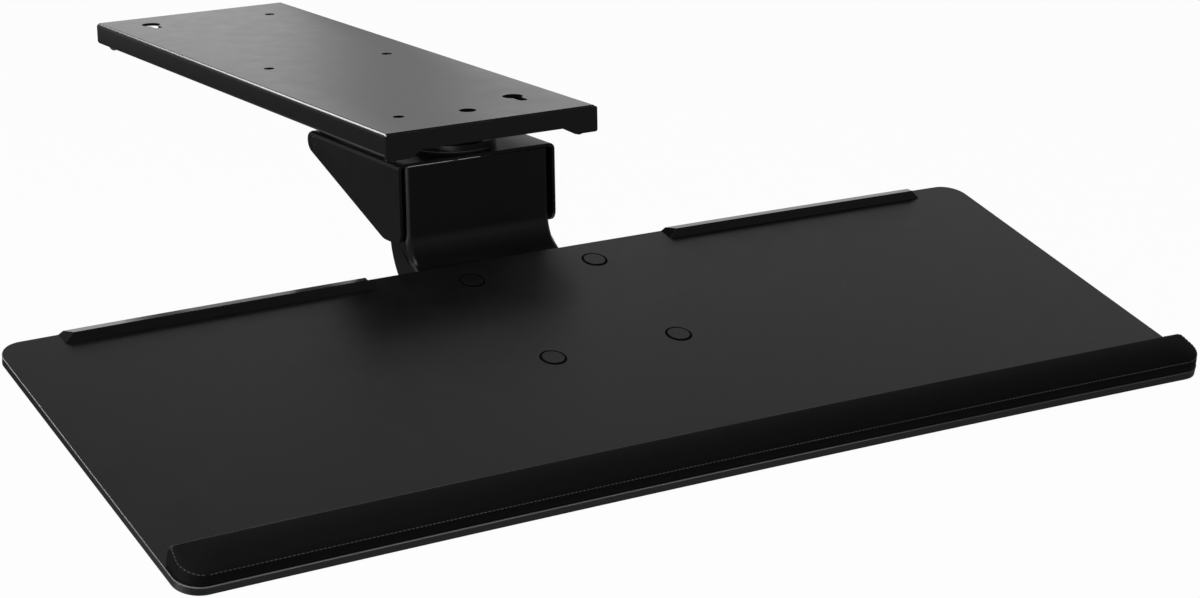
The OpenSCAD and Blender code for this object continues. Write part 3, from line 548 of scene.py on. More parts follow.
def spring_path(steps_per_turn=36):
    """The right spring: a straight leg, a helix about the height pivot, and a leg that leaves it
    along the tangent to the cross rod. Along the helix x falls by the pitch each turn."""
    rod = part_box("arm_cross_rod")
    rod_y, rod_z = (rod[0].y + rod[1].y) / 2, rod[0].z
    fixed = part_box("right_lift_spring")[1].z - SPRING_WIRE
    radius = fixed - HEIGHT_PIVOT.z
    contact = np.array([rod_y - HEIGHT_PIVOT.y, rod_z - HEIGHT_PIVOT.z - 0.05 * MM - SPRING_WIRE])
    reach = np.linalg.norm(contact)
    leave = math.atan2(contact[1], contact[0]) + math.acos(radius / reach)
    sweep = math.pi / 2 - leave + 2 * math.pi * SPRING_TURNS
    turned = np.linspace(0, sweep, int(sweep / 2 / math.pi * steps_per_turn))
    coil = np.stack([
        SPRING_PLACE - SPRING_PITCH * turned / 2 / math.pi,
        HEIGHT_PIVOT.y + radius * np.cos(math.pi / 2 - turned),
        HEIGHT_PIVOT.z + radius * np.sin(math.pi / 2 - turned),
    ], 1)
    first = coil[0] + np.linspace(1, 0.04, 12)[:, None] * np.array([0, -SPRING_FIXED_LEG, 0])
    heading = np.array([0, math.sin(leave), -math.cos(leave)])
    length_out = math.sqrt(reach ** 2 - radius ** 2) + SPRING_FREE_END
    last = coil[-1] + np.linspace(0.03, 1, 16)[:, None] * heading * length_out
    return np.concatenate([first, coil, last]), coil[-1], heading, length_out, radius


def make_springs():
    path, end, heading, out, radius = spring_path()
    for side, sign in (("left", -1), ("right", 1)):
        points, faces = tube_parts(path * (sign, 1, 1), SPRING_WIRE, sizes().wire_sides)
        obj = add_piece(
            f"{side}_spring", points, faces, "spring_steel", None, [f"{side}_lift_spring"], 60)
        start = (end + heading * (radius + 2 * SPRING_WIRE)) * (sign, 1, 1)
        stop = (end + heading * out * 0.85) * (sign, 1, 1)
        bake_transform(obj, "swivel", "arm", start, stop)


def make_board():
    dressed_copy("board", "tray_board", sizes().board_edge, bent=True, segments=4)


# The bead, a light strip that paints a highlight along the board's edge: the x between which it sinks
# into the edge, which fades the painted highlight to the right, from and to which share of its radius,
# and the number of points along the straight front and rear
HIGHLIGHT_FADE_X = (-0.22, 0.14)
HIGHLIGHT_FADE_DEPTHS = (0.45, 0.93)
BEAD_POINTS = 65


def make_painted_board_highlight():
    """A fine light bead in the board's edge that paints a highlight on it, swept round the board's
    outline. Its section is a circle in the plane of the outline's outward direction and the tray's
    up, and it lies deeper in the edge towards the right, so the painted highlight fades there."""
    half, depth = BOARD_WIDTH / 2, sizes().board_depth
    corner, radius = sizes().board_corner, sizes().painted_edge_highlight
    end = half - corner
    along = np.linspace(-end, end, BEAD_POINTS + 2)
    quarter = np.radians(np.linspace(0, 90, 15))
    centres, outwards = [], []
    for start, cx, cy in ((-90, end, corner - depth), (0, end, -corner),
                          (90, -end, -corner), (180, -end, corner - depth)):
        a = quarter + math.radians(start)
        if start == -90:
            front = np.stack([along[1:-1], np.full(BEAD_POINTS, -depth)], 1)
            centres.append(front)
            outwards.append(np.tile((0.0, -1.0), (BEAD_POINTS, 1)))
        if start == 90:
            rear = np.stack([along[-2:0:-1], np.zeros(BEAD_POINTS)], 1)
            centres.append(rear)
            outwards.append(np.tile((0.0, 1.0), (BEAD_POINTS, 1)))
        n = np.stack([np.cos(a), np.sin(a)], 1)
        centres.append(np.array([cx, cy]) + corner * n)
        outwards.append(n)
    centres, outwards = np.concatenate(centres), np.concatenate(outwards)
    a = np.linspace(0, 2 * math.pi, 10, endpoint=False)
    # Deeper towards the right, so that less of the painted highlight shows there
    deep = np.interp(centres[:, 0], HIGHLIGHT_FADE_X, HIGHLIGHT_FADE_DEPTHS)
    out = radius * (np.cos(a)[:, None] - deep[None])
    flat = centres[None] + out[..., None] * outwards[None]
    up = np.repeat((radius * np.sin(a) - sizes().painted_highlight_drop)[:, None], len(centres), 1)
    points = np.concatenate([flat, up[..., None]], 2).reshape(-1, 3)
    add_piece(
        "painted_board_highlight", droop(placed(points, TRAY_PLACE)),
        grid_faces(len(a), len(centres), True, True), "painted_edge_highlight", "tray", smooth_angle=80)


# The dark rings of painted shade round the nuts: how far the middle lies outside the flange, height
# over thickness, and how deep the foot is sunk in the board
RING_GAP = 0.4 * MM
RING_FLATNESS = 0.4
RING_SUNK = 0.05 * MM


def make_painted_nut_shade():
    """A thin dark ring round each flanged nut, painted shade for the gap round its flange: a flattened half circle
    turned about its axis.
    """
    across = np.radians(np.linspace(0, 180, 7))
    a = np.linspace(0, 2 * math.pi, 64, endpoint=False)
    thick = sizes().nut_shade_ring
    r = sizes().ring_middle + RING_GAP + thick * np.cos(across)
    z = thick * RING_FLATNESS * np.sin(across) - RING_SUNK
    ring = np.stack([
        r[:, None] * np.cos(a), r[:, None] * np.sin(a), np.repeat(z[:, None], len(a), 1)], 2)
    ring = ring.reshape(-1, 3)
    parts = []
    for x, y in centres_of("sleeve_nuts"):
        parts.append((ring + (x, y, 0), grid_faces(len(r), len(a), True, True)))
    points, faces = join_parts(parts)
    add_piece("painted_nut_shade", placed(points, TRAY_PLACE), faces, "painted_gap_shade", "tray")


STOP_END_SLOPE = 6.0 * MM


def make_stops():
    """The keyboard stops. The slope of each one's right end, six millimetres long in the CAD, is
    mapped linearly to a steeper one that starts and stops further right."""
    for side in ("left", "right"):
        obj = dressed_copy(f"stop_{side}", f"{side}_keyboard_stop", sizes().stop_edge, bent=True)
        points = np.empty(len(obj.data.vertices) * 3)
        obj.data.vertices.foreach_get("co", points)
        points = points.reshape(-1, 3)
        start = points[:, 0].max() - STOP_END_SLOPE
        part = (points[:, 0] - start) / STOP_END_SLOPE
        steep, extra = sizes().stop_steep, sizes().stop_extra
        moved = start + steep + part * (STOP_END_SLOPE - steep + extra)
        points[:, 0] = np.where(part > -0.001, moved, points[:, 0])
        obj.data.vertices.foreach_set("co", points.ravel())


# The rest: half length, front and rear edge, the two corner radii and the heights, in the tray
REST_HALF = 328.6 * MM
REST_FRONT = -253.3 * MM
REST_REAR = -228.5 * MM
REST_FRONT_CORNER = 12.6 * MM
REST_REAR_CORNER = 2.5 * MM
REST_REAR_HEIGHT = 11.8 * MM
REST_FRONT_HEIGHT = 6.0 * MM
REST_CROWN = 1.3 * MM

# Its top edge's width and its wall's flare at the front, and their change to the rear, in mm
REST_EDGE_FRONT = 0.55
REST_EDGE_MORE = 2.65
REST_FLARE_FRONT = 0.45
REST_FLARE_LESS = 0.25

# Its hollow underside: height of the pocket's roof, width of the skirt, and the wall's swell
REST_POCKET = 2.5 * MM
REST_SKIRT = 2.1 * MM
REST_SWELL = 0.25 * MM

REST_MIDDLE = (REST_FRONT + REST_REAR) / 2
REST_REACH = (REST_REAR - REST_FRONT) / 2


def rest_outline():
    """Points round the rest against the clock, and for each the point of the rest's middle line
    that it runs in to. Front and rear have points at the same x, so both meet on that line."""
    end = REST_HALF - REST_FRONT_CORNER
    front = np.linspace(-end, end, 121)
    r = REST_REAR_CORNER
    right = np.concatenate([
        arc((end, REST_FRONT + REST_FRONT_CORNER), REST_FRONT_CORNER, 270, 360, 16)[1:],
        np.stack([np.full(5, REST_HALF),
                  np.linspace(REST_FRONT + REST_FRONT_CORNER, REST_REAR - r, 7)[1:-1]], 1),
        arc((REST_HALF - r, REST_REAR - r), r, 0, 90, 8),
        np.stack([np.linspace(REST_HALF - r, end, 5)[1:-1], np.full(3, REST_REAR)], 1),
    ])
    left = right[::-1] * (-1, 1)
    outline = np.concatenate([
        np.stack([front, np.full(121, REST_FRONT)], 1), right,
        np.stack([front[::-1], np.full(121, REST_REAR)], 1), left,
    ])
    inner = np.stack([np.clip(outline[:, 0], -end, end), np.full(len(outline), REST_MIDDLE)], 1)
    return outline, inner


def rest_height(x, y):
    """Height of the rest's top: a straight slope from rear to front with a sine crown, which
    fades out over the last two centimetres at each end."""
    part = np.clip((REST_REAR - y) / (REST_REAR - REST_FRONT), 0, 1)
    fade = np.clip((REST_HALF - np.abs(x)) / (20 * MM), 0, 1)
    fade = np.sin(fade * math.pi / 2)
    slope = REST_REAR_HEIGHT + (REST_FRONT_HEIGHT - REST_REAR_HEIGHT) * part
    return slope + REST_CROWN * np.sin(math.pi * part) * fade


def rest_row(outline, inner, inward, height):
    """A ring of the rest at a distance in from its outline, in the tray's own frame."""
    share_in = np.broadcast_to(np.asarray(inward) / REST_REACH, len(outline))[:, None]
    p = outline * (1 - share_in) + inner * share_in
    return np.concatenate([p, np.asarray(np.broadcast_to(height, len(p)))[:, None]], 1)


def make_rest():
    """The pad's surface: rings that rise along its wall, turn in at the top edge as a quarter
    ellipse, wider at the rear than at the front, and run in along the crowned top."""
    outline, inner = rest_outline()
    rear = np.clip((outline[:, 1] - REST_MIDDLE) / REST_REACH, 0, 1)
    edge = (REST_EDGE_FRONT + REST_EDGE_MORE * rear) * MM
    top = rest_height(outline[:, 0], outline[:, 1])
    flare = (REST_FLARE_FRONT - REST_FLARE_LESS * rear) * MM
    rows = [
        rest_row(outline, inner, REST_REACH, REST_POCKET),
        rest_row(outline, inner, REST_SKIRT, REST_POCKET),
        rest_row(outline, inner, REST_SKIRT, 0.05 * MM),
        rest_row(outline, inner, 0.8 * MM, -0.2 * MM),
        rest_row(outline, inner, -flare, -0.75 * flare),
    ]
    for up in (0.04, 0.15, 0.3, 0.5, 0.7, 0.85, 1.0):
        swell = REST_SWELL * math.sin(math.pi * up)
        inward = -flare * (1 - up) ** 2 - swell
        rows.append(rest_row(outline, inner, inward, (top - edge) * up))
    for turn in np.radians((15, 30, 45, 60, 75)):
        inward = edge * (1 - math.cos(turn))
        row = rest_row(outline, inner, inward, 0)
        drop = edge * (1 - math.sin(turn))
        row[:, 2] = rest_height(row[:, 0], row[:, 1]) - drop
        rows.append(row)
    for inward in (3.3, 3.8, 4.4, 5.6, 7.0, 8.6, 10.3, REST_REACH / MM):
        row = rest_row(outline, inner, inward * MM, 0)
        row[:, 2] = rest_height(row[:, 0], row[:, 1])
        rows.append(row)
    points = droop(placed(np.concatenate(rows), TRAY_PLACE))
    pad = add_piece(
        "rest_pad", points, grid_faces(len(rows), len(outline), wrap_columns=True), "pad_cover",
        "tray", ["wrist_pad"], 70)
    make_seam(outline, inner, edge)
    dressed_copy("rest_core", "rest_base", 0.2 * MM, bent=True)


# The seam: its place as a share of the top edge's width, twice that at the rear, its lift at
# the rear, and the distance between stitches over their length
SEAM_PLACE = 0.3
SEAM_LIFT = 0.1 * MM
STITCH_STEP = 1.45


def make_seam(outline, inner, edge):
    """Stitches along the pad's top edge: short threads laid end to end with a gap between two."""
    rear = np.clip((outline[:, 1] - REST_MIDDLE) / REST_REACH, 0, 1)
    part = SEAM_PLACE + SEAM_PLACE * rear
    row = rest_row(outline, inner, edge * part, 0)
    row[:, 2] = rest_height(row[:, 0], row[:, 1]) - edge * (1 - np.sqrt(1 - (1 - part) ** 2))
    row[:, 2] += SEAM_LIFT * rear
    loop = np.concatenate([row, row[:1]])
    run = np.concatenate([[0], np.cumsum(np.linalg.norm(np.diff(loop, axis=0), axis=1))])
    step = sizes().stitch * STITCH_STEP
    places = np.arange(0, run[-1] - step, step)
    parts = []
    for start in places:
        s = start + np.linspace(0, 1, 4) * sizes().stitch
        path = np.stack([np.interp(s, run, loop[:, k]) for k in range(3)], 1)
        parts.append(tube_parts(path, sizes().thread, 6, round_ends=False))
    points, faces = join_parts(parts)
    add_piece(
        "rest_seam", droop(placed(points, TRAY_PLACE)), faces, "seam_thread", "tray",
        smooth_angle=60)


# The cross recess: half width and length as shares of the head's radius, depth of its height
CROSS_HALF = 0.115
CROSS_REACH = 0.6
CROSS_DEPTH = 0.75
CROSS_WALL = 0.35
SCREW_TURN = 0.7


def cross_head(radius, height, rings=22, spokes=72):
    """A domed head with a cross recess. Height over radius r and angle a: an ellipse's, less a
    depth that a smooth step gives where the nearer of the cross's two bars lies closer than its
    half width. The recess narrows and gets shallower outwards."""
    r = np.concatenate([np.linspace(0.001, 0.66, rings - 6), np.linspace(0.72, 1, 6)]) * radius
    a = np.linspace(0, 2 * math.pi, spokes, endpoint=False)
    r, a = np.meshgrid(r, a, indexing="ij")
    x, y = r * np.cos(a), r * np.sin(a)
    dome = height * np.sqrt(np.clip(1 - (r / radius) ** 2, 0, 1))
    from_bar = np.minimum(np.abs(x), np.abs(y))
    half = radius * CROSS_HALF
    inside = np.clip((half - from_bar) / (half * CROSS_WALL), 0, 1)
    inside = inside * inside * (3 - 2 * inside)
    reach = np.clip((radius * CROSS_REACH - r) / (radius * 0.1), 0, 1)
    depth = height * CROSS_DEPTH * inside * reach * (1 - 0.5 * r / radius)
    points = np.stack([x, y, dome - depth], 2).reshape(-1, 3)
    return points, grid_faces(*r.shape, wrap_columns=True) + [list(range(spokes))]


def heads_under(places, radius, height, low, turn):
    """Domed heads at places of the tray, their tops down."""
    parts = []
    for i, (x, y) in enumerate(places):
        points, faces = cross_head(radius, height)
        a = turn * (i + 1)
        m = Matrix.Translation((x, y, low)) @ Matrix.Rotation(a, 4, "Z") @ Matrix.Rotation(
            math.pi, 4, "X")
        parts.append((placed(points, m), faces))
    return parts


def centres_of(node):
    """Middle of each separate solid of a node, in the tray's own frame."""
    b = bmesh.new()
    b.from_mesh(nodes[node].data)
    bmesh.ops.remove_doubles(b, verts=b.verts, dist=2e-6)
    left, places = set(b.verts), []
    while left:
        group, todo = set(), [left.pop()]
        while todo:
            v = todo.pop()
            group.add(v)
            for e in v.link_edges:
                o = e.other_vert(v)
                if o in left:
                    left.remove(o)
                    todo.append(o)
        p = placed(np.array([v.co[:] for v in group]), TRAY_PLACE.inverted())
        places.append(tuple((p.min(0) + p.max(0))[:2] / 2))
    b.free()
    return sorted(places)


def make_screws():
    """The screws under the board: heads with a cross recess, on plain shanks."""
    for name, node, radius, height, low, shank, top in (
        ("screws_bracket", "bracket_screws", 5 * MM, 2.4 * MM, -7.3 * MM, 2.5 * MM, -1.6 * MM),
        ("screws_trim", "trim_screws", 3.2 * MM, 2 * MM, -5.3 * MM, 1.5 * MM, 1.9 * MM),
    ):
        places = centres_of(node)
        parts = heads_under(places, radius, height, low, SCREW_TURN)
        for x, y in places:
            parts.append(tube_parts(
                [(x, y, low - 0.1 * MM), (x, y, (low + top) / 2), (x, y, top)], shank, 20, False))
        points, faces = join_parts(parts)
        add_piece(
            name, droop(placed(points, TRAY_PLACE)), faces, "plated_steel", "tray", [node], 40)


KNOB_RADIUS = 17 * MM
KNOB_LOBE = 4.4 * MM
KNOB_LOBES = 6
KNOB_RIM = 2.6 * MM
KNOB_SHARPNESS = 1.5 / MM


def make_knob():
    """The knob: its outline is a circle with round lobes, blended by a soft maximum, and its size
    along the bolt follows a profile with a rounded rim and a dished face."""
    low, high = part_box("tilt_knob")
    a = np.linspace(0, 2 * math.pi, 180, endpoint=False)
    core = KNOB_RADIUS - KNOB_LOBE
    off = (a + math.pi / KNOB_LOBES) % (2 * math.pi / KNOB_LOBES) - math.pi / KNOB_LOBES
    inside = np.clip(KNOB_LOBE ** 2 - (core * np.sin(off)) ** 2, 0, None)
    lobes = core * np.cos(off) + np.sqrt(inside)
    outline = np.log(np.exp(lobes * KNOB_SHARPNESS) + np.exp(core * KNOB_SHARPNESS))
    outline /= KNOB_SHARPNESS
    outline *= KNOB_RADIUS / outline.max()
    span = high.x - low.x
    profile = [(0.0, 0.02), (0.0, 0.9 * core / KNOB_RADIUS), (0.0, 0.93), (0.4 * MM, 0.965),
               (1.2 * MM, 0.985), (span * 0.5, 1.0)]
    rows = [(x, outline * f) for x, f in profile]
    for t in np.radians((0, 18, 36, 54, 72, 90)):
        rows.append((span - KNOB_RIM * (1 - math.sin(t)), outline - KNOB_RIM * (1 - math.cos(t))))
    for f, dip in ((0.94, 0.0), (0.8, 0.15), (0.72, 0.7), (0.66, 1.0), (0.3, 1.15), (0.02, 1.2)):
        ring = (core - KNOB_RIM) * f
        even = np.full_like(outline, ring)
        mix = np.clip((f - 0.72) / 0.28, 0, 1)
        rows.append((span - dip * MM, even * (1 - mix) + (outline - KNOB_RIM) * f * mix))
    points = np.concatenate([
        np.stack([np.full_like(a, low.x + x), TILT_PIVOT.y + r * np.cos(a),
                  TILT_PIVOT.z + r * np.sin(a)], 1) for x, r in rows
    ])
    n, m = len(rows), len(a)
    faces = grid_faces(n, m, wrap_columns=True)
    faces += [list(range(m)), list(range((n - 1) * m, n * m))]
    add_piece("knob", points, faces, "knob_plastic", "knob", ["tilt_knob"], 50)


def paint_nodes():
    """Every CAD node gets its finish."""
    for node, obj in nodes.items():
        paint(obj, slot_of(node))


# Stage

CAMERA_PLACE = (-0.8610, -1.7631, 0.3826)
CAMERA_AZIMUTH = math.radians(-31.22)
CAMERA_ELEVATION = math.radians(15.70)
CAMERA_ROLL = math.radians(-0.87)
CAMERA_LENS = 89.82


def add_camera():
    """The photograph's camera: back points from the object to the lens, and the roll turns about it."""
    a, e, roll = CAMERA_AZIMUTH, CAMERA_ELEVATION, CAMERA_ROLL
    back = Vector((math.sin(a) * math.cos(e), -math.cos(a) * math.cos(e), math.sin(e)))
    right = Vector((math.cos(a), math.sin(a), 0))
    up = back.cross(right)
    right, up = (
        right * math.cos(roll) + up * math.sin(roll),
        up * math.cos(roll) - right * math.sin(roll),
    )
    data = bpy.data.cameras.new("Camera")
    data.lens = CAMERA_LENS
    data.sensor_width = 36
    data.clip_start, data.clip_end = 0.05, 50
    camera = bpy.data.objects.new("Camera", data)
    camera.matrix_world = Matrix((
        (right.x, up.x, back.x, CAMERA_PLACE[0]),
        (right.y, up.y, back.y, CAMERA_PLACE[1]),
        (right.z, up.z, back.z, CAMERA_PLACE[2]),
        (0, 0, 0, 1),
    ))
    bpy.context.scene.collection.objects.link(camera)
    bpy.context.scene.camera = camera


def add_softbox(name, place, target, size, power):
    """A rectangular lamp at a place, turned to face its target."""
    data = bpy.data.lights.new(name, "AREA")
    data.shape = "RECTANGLE"
    data.size, data.size_y = size
    data.energy = power
    lamp = bpy.data.objects.new(name, data)
    lamp.location = place
    lamp.rotation_mode = "QUATERNION"
    lamp.rotation_quaternion = (Vector(place) - Vector(target)).to_track_quat("Z", "Y")
    bpy.context.scene.collection.objects.link(lamp)


FLOOR_HEIGHT = -0.72
FLOOR_SIZE = 14.0
FLOOR_GLOW = 0.97
FLOOR_SLANT = 0.6

# How bright other rays than the camera's see the floor: from and to, and where the change
# starts and ends, in metres along the floor and for FLOOR_NEAR in square metres
FLOOR_FAR = (0.08, 0.2, 1.6, 3.0)
FLOOR_FARTHEST = (0.0, 0.8, 3.2, 6.0)
FLOOR_NEAR = (0.4, 0.13, 0.5, 2.2)
FLOOR_BEHIND = (0.0, 0.45, 0.9, 1.8)
FLOOR_LEFT_X = (2.4, 0.0, -1.7, -1.0)
FLOOR_LEFT_Y = (1.0, 0.0, 0.1, 0.9)
FLOOR_RIGHT_X = (0.0, 1.0, 0.4, 0.9)
FLOOR_RIGHT_Y = (0.0, 1.0, 1.0, 1.9)

# The same for the room, over the degrees right of straight behind or over the direction's z
WALL_GAP_START = (1.0, 0.0, 25.3, 26.4)
WALL_GAP_END = (0.0, 1.0, 28.2, 29.2)
WALL_GAP_FILL = (0.3, 0.62, 0.185, 0.235)
WALL_AGAIN = 0.8
WALL_LEFT_END = (0.25, 1.0, -8, 14)
WALL_RIGHT_END = (1.0, 0.3, 50, 90)
HIGH_RISE = (0.32, 0.62, 18, 32)
HIGH_FALL = (1.0, 0.62, 32, 45)
HIGH_TOP = (1.0, 0.2, 0.64, 0.73)
LOW_TO_HIGH = (0, 1, 0.26, 0.42)

# Lamps: name, place, target, size and power
LAMPS = (
    ("Strip", (-0.47, 2.22, 1.3), (0, -0.2, -0.05), (1.15, 0.5), 16),
    ("Side", (-2.0, 1.75, 1.35), (-0.3, -0.3, -0.1), (0.7, 0.7), 12),
    ("Top", (-0.6, -0.5, 2.3), (0, -0.3, 0), (2.2, 1.8), 30),
)


def math_node(tree, operation, a, b):
    """A math node on two values, each a socket or a number."""
    n = tree.nodes.new("ShaderNodeMath")
    n.operation = operation
    for socket, value in zip(n.inputs, (a, b)):
        if isinstance(value, (int, float)):
            socket.default_value = value
        else:
            tree.links.new(value, socket)
    return n.outputs["Value"]


def seen_by_lens(tree):
    """Light path outputs: one for camera rays and one for all others, so that shiny and clear
    surfaces, matte ones and the lamps' sampling agree on what lies round the object."""
    seen = tree.nodes.new("ShaderNodeLightPath").outputs
    shiny = math_node(tree, "MAXIMUM", seen["Is Glossy Ray"], seen["Is Transmission Ray"])
    others = math_node(tree, "SUBTRACT", 1.0, seen["Is Camera Ray"])
    return seen["Is Camera Ray"], math_node(tree, "MAXIMUM", shiny, others)


def add_floor():
    """A pale floor at a desk's height below: white to the camera but for the object's shadow. All
    other rays see it dim near the object, brighter far behind it and bright in a zone on the
    left and one behind on the right. From below it is clear."""
    m = bpy.data.materials.new("Floor")
    m.use_nodes = True
    tree = m.node_tree
    shader = tree.nodes["Principled BSDF"]
    shader.inputs["Base Color"].default_value = (0.7, 0.7, 0.7, 1)
    shader.inputs["Roughness"].default_value = 0.9
    shader.inputs["Specular IOR Level"].default_value = 0.0
    place = tree.nodes.new("ShaderNodeTexCoord").outputs["Object"]
    split = tree.nodes.new("ShaderNodeSeparateXYZ")
    tree.links.new(place, split.inputs["Vector"])
    x, y = split.outputs["X"], split.outputs["Y"]
    far = math_node(tree, "ADD", y, math_node(tree, "MULTIPLY", x, FLOOR_SLANT))
    dim = math_node(
        tree, "ADD", spread(tree, far, *FLOOR_FAR), spread(tree, far, *FLOOR_FARTHEST))
    squared = math_node(
        tree, "ADD", math_node(tree, "MULTIPLY", x, x), math_node(tree, "MULTIPLY", y, y))
    dim = math_node(tree, "MAXIMUM", dim, spread(tree, squared, *FLOOR_NEAR))
    behind = math_node(tree, "SUBTRACT", 1.0, spread(tree, y, *FLOOR_BEHIND))
    dim = math_node(tree, "MULTIPLY", dim, behind)
    left = math_node(
        tree, "MULTIPLY", spread(tree, x, *FLOOR_LEFT_X), spread(tree, y, *FLOOR_LEFT_Y))
    right = math_node(
        tree, "MULTIPLY", spread(tree, x, *FLOOR_RIGHT_X), spread(tree, y, *FLOOR_RIGHT_Y))
    dim = math_node(tree, "MAXIMUM", math_node(tree, "MAXIMUM", dim, left), right)
    camera, others = seen_by_lens(tree)
    glow = tree.nodes.new("ShaderNodeEmission")
    glow.inputs["Color"].default_value = (1, 1, 1, 1)
    tree.links.new(math_node(tree, "MAXIMUM", camera, dim), glow.inputs["Strength"])
    part = math_node(tree, "MAXIMUM", math_node(tree, "MULTIPLY", camera, FLOOR_GLOW), others)
    mix = tree.nodes.new("ShaderNodeMixShader")
    tree.links.new(part, mix.inputs["Fac"])
    tree.links.new(shader.outputs["BSDF"], mix.inputs[1])
    tree.links.new(glow.outputs["Emission"], mix.inputs[2])
    clear = tree.nodes.new("ShaderNodeBsdfTransparent")
    under = tree.nodes.new("ShaderNodeMixShader")
    from_below = tree.nodes.new("ShaderNodeNewGeometry").outputs["Backfacing"]
    tree.links.new(from_below, under.inputs["Fac"])
    tree.links.new(mix.outputs["Shader"], under.inputs[1])
    tree.links.new(clear.outputs["BSDF"], under.inputs[2])
    tree.links.new(under.outputs["Shader"], tree.nodes["Material Output"].inputs["Surface"])
    half = FLOOR_SIZE / 2
    mesh = bpy.data.meshes.new("floor")
    corners = [(-half, -half), (half, -half), (half, half), (-half, half)]
    mesh.from_pydata([(x, y, FLOOR_HEIGHT) for x, y in corners], [], [(0, 1, 2, 3)])
    mesh.materials.append(m)
    floor = bpy.data.objects.new("floor", mesh)
    bpy.context.scene.collection.objects.link(floor)


def add_world():
    """A white studio. Shiny surfaces see a bright wall behind the object on the left, a dark gap,
    then a softer wall to the right that dims with height, and a dim room elsewhere. The light is
    a function of the direction alone."""
    world = bpy.data.worlds.new("Studio")
    world.use_nodes = True
    bpy.context.scene.world = world
    tree = world.node_tree
    background = tree.nodes["Background"]
    direction = tree.nodes.new("ShaderNodeTexCoord").outputs["Generated"]
    split = tree.nodes.new("ShaderNodeSeparateXYZ")
    tree.links.new(direction, split.inputs["Vector"])
    turn = math_node(tree, "ARCTAN2", split.outputs["X"], split.outputs["Y"])
    degrees = math_node(tree, "MULTIPLY", turn, 180 / math.pi)
    height = split.outputs["Z"]
    gap = spread(tree, height, *WALL_GAP_FILL)
    wall = spread(tree, degrees, *WALL_GAP_START)
    missing = math_node(tree, "SUBTRACT", 1.0, wall)
    wall = math_node(tree, "ADD", wall, math_node(tree, "MULTIPLY", gap, missing))
    again = math_node(
        tree, "MULTIPLY", spread(tree, degrees, *WALL_GAP_END),
        math_node(tree, "SUBTRACT", WALL_AGAIN, gap))
    left_end = spread(tree, degrees, *WALL_LEFT_END)
    right_end = spread(tree, degrees, *WALL_RIGHT_END)
    low = math_node(tree, "MULTIPLY", math_node(tree, "ADD", wall, again), left_end)
    low = math_node(tree, "MULTIPLY", low, right_end)
    high = spread(tree, degrees, *HIGH_RISE)
    high = math_node(tree, "MULTIPLY", high, spread(tree, degrees, *HIGH_FALL))
    high = math_node(tree, "MULTIPLY", high, spread(tree, height, *HIGH_TOP))
    high = math_node(tree, "MULTIPLY", high, right_end)
    up = spread(tree, height, *LOW_TO_HIGH)
    blend = tree.nodes.new("ShaderNodeMix")
    tree.links.new(up, blend.inputs["Factor"])
    tree.links.new(low, blend.inputs["A"])
    tree.links.new(high, blend.inputs["B"])
    wall_light = blend.outputs["Result"]
    camera, others = seen_by_lens(tree)
    light = math_node(tree, "MAXIMUM", camera, math_node(tree, "MULTIPLY", others, wall_light))
    tree.links.new(light, background.inputs["Strength"])
    background.inputs["Color"].default_value = (1, 1, 1, 1)


# Operators

class TrayOperator:
    """What the tray's operators share."""
    bl_options = {"REGISTER", "UNDO"}


class TRAY_OT_finishes(TrayOperator, bpy.types.Operator):
    """Give every CAD node its finish"""
    bl_idname = "tray.finishes"
    bl_label = "Finishes"

    def execute(self, context):
        paint_nodes()
        return {"FINISHED"}


class TRAY_OT_track(TrayOperator, bpy.types.Operator):
    """Dress the track and its slide stops"""
    bl_idname = "tray.track"
    bl_label = "Track"

    def execute(self, context):
        make_track()
        return {"FINISHED"}


class TRAY_OT_brackets(TrayOperator, bpy.types.Operator):
    """Dress the swivel bracket, the tilt bracket and the pivot pin"""
    bl_idname = "tray.brackets"
    bl_label = "Brackets"

    def execute(self, context):
        make_brackets()
        return {"FINISHED"}


class TRAY_OT_arm(TrayOperator, bpy.types.Operator):
    """Dress the arm and round its folds"""
    bl_idname = "tray.arm"
    bl_label = "Arm"

    def execute(self, context):
        make_arm()
        return {"FINISHED"}


class TRAY_OT_hardware(TrayOperator, bpy.types.Operator):
    """Dress the runners, washers, rivet, bolt and bushes"""
    bl_idname = "tray.hardware"
    bl_label = "Hardware"

    def execute(self, context):
        make_hardware()
        return {"FINISHED"}


class TRAY_OT_springs(TrayOperator, bpy.types.Operator):
    """Wind the lift springs"""
    bl_idname = "tray.springs"
    bl_label = "Springs"

    def execute(self, context):
        make_springs()
        return {"FINISHED"}


class TRAY_OT_board(TrayOperator, bpy.types.Operator):
    """Dress the board and the keyboard stops"""
    bl_idname = "tray.board"
    bl_label = "Board and stops"

    def execute(self, context):
        make_board()
        make_painted_board_highlight()
        make_painted_nut_shade()
        make_stops()
        return {"FINISHED"}


class TRAY_OT_rest(TrayOperator, bpy.types.Operator):
    """Build the wrist rest and its seam"""
    bl_idname = "tray.rest"
    bl_label = "Wrist rest"

    def execute(self, context):
        make_rest()
        return {"FINISHED"}


class TRAY_OT_screws(TrayOperator, bpy.types.Operator):
    """Build the screws under the board"""
    bl_idname = "tray.screws"
    bl_label = "Screws"

    def execute(self, context):
        make_screws()
        return {"FINISHED"}


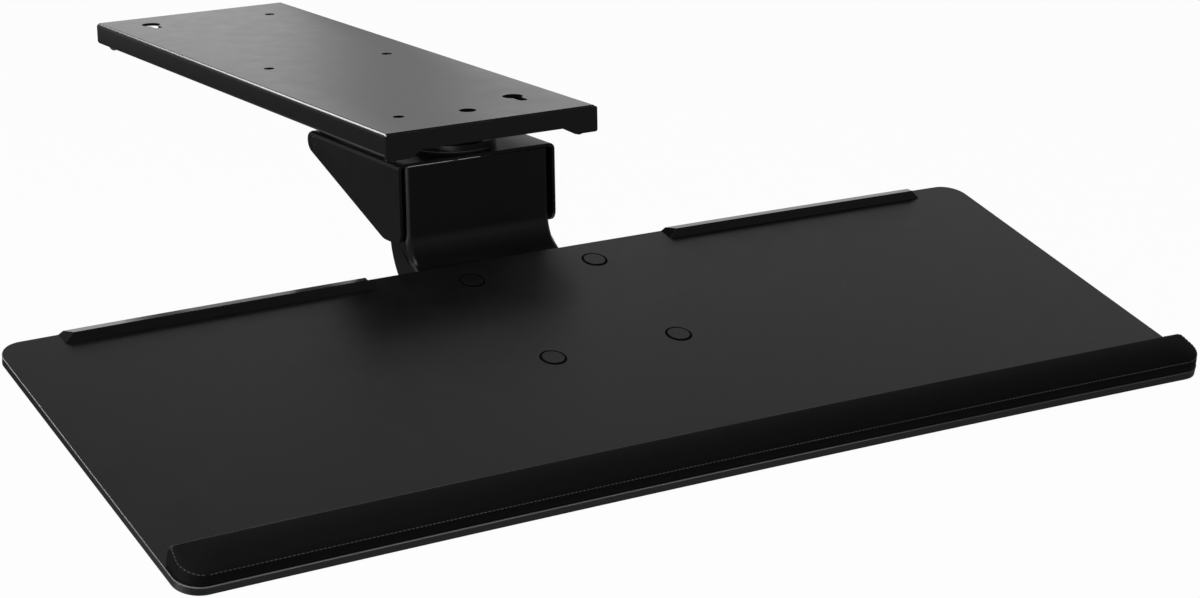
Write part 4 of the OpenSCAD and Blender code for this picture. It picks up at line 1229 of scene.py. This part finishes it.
class TRAY_OT_knob(TrayOperator, bpy.types.Operator):
    """Build the tilt knob"""
    bl_idname = "tray.knob"
    bl_label = "Knob"

    def execute(self, context):
        make_knob()
        return {"FINISHED"}


class TRAY_OT_stage(TrayOperator, bpy.types.Operator):
    """Add the camera, the floor, the studio's light and the lamps"""
    bl_idname = "tray.stage"
    bl_label = "Stage"

    def execute(self, context):
        add_camera()
        add_floor()
        add_world()
        for lamp in LAMPS:
            add_softbox(*lamp)
        context.scene.view_settings.view_transform = "Standard"
        return {"FINISHED"}


STEPS = (
    TRAY_OT_finishes, TRAY_OT_track, TRAY_OT_brackets, TRAY_OT_arm, TRAY_OT_hardware,
    TRAY_OT_springs, TRAY_OT_board, TRAY_OT_rest, TRAY_OT_screws, TRAY_OT_knob, TRAY_OT_stage,
)


class TRAY_PT_panel(bpy.types.Panel):
    """The tray's pieces, one button each"""
    bl_idname = "TRAY_PT_panel"
    bl_label = "Keyboard Tray"
    bl_space_type = "VIEW_3D"
    bl_region_type = "UI"
    bl_category = "Tray"

    def draw(self, context):
        for group in (context.scene.tray_sizes, context.scene.tray_colours):
            box = self.layout.box()
            for name in group.bl_rna.properties.keys():
                if name not in {"rna_type", "name"}:
                    box.prop(group, name)
        for step in STEPS:
            self.layout.operator(step.bl_idname)


CLASSES = (TraySizes, TrayColours, *STEPS, TRAY_PT_panel)


def register():
    for c in CLASSES:
        bpy.utils.register_class(c)
    bpy.types.Scene.tray_sizes = PointerProperty(type=TraySizes)
    bpy.types.Scene.tray_colours = PointerProperty(type=TrayColours)


def unregister():
    del bpy.types.Scene.tray_colours
    del bpy.types.Scene.tray_sizes
    for c in reversed(CLASSES):
        bpy.utils.unregister_class(c)


def main():
    register()
    bpy.ops.tray.finishes()
    bpy.ops.tray.track()
    bpy.ops.tray.brackets()
    bpy.ops.tray.arm()
    bpy.ops.tray.hardware()
    bpy.ops.tray.springs()
    bpy.ops.tray.board()
    bpy.ops.tray.rest()
    bpy.ops.tray.screws()
    bpy.ops.tray.knob()
    bpy.ops.tray.stage()


if __name__ == "__main__":
    main()
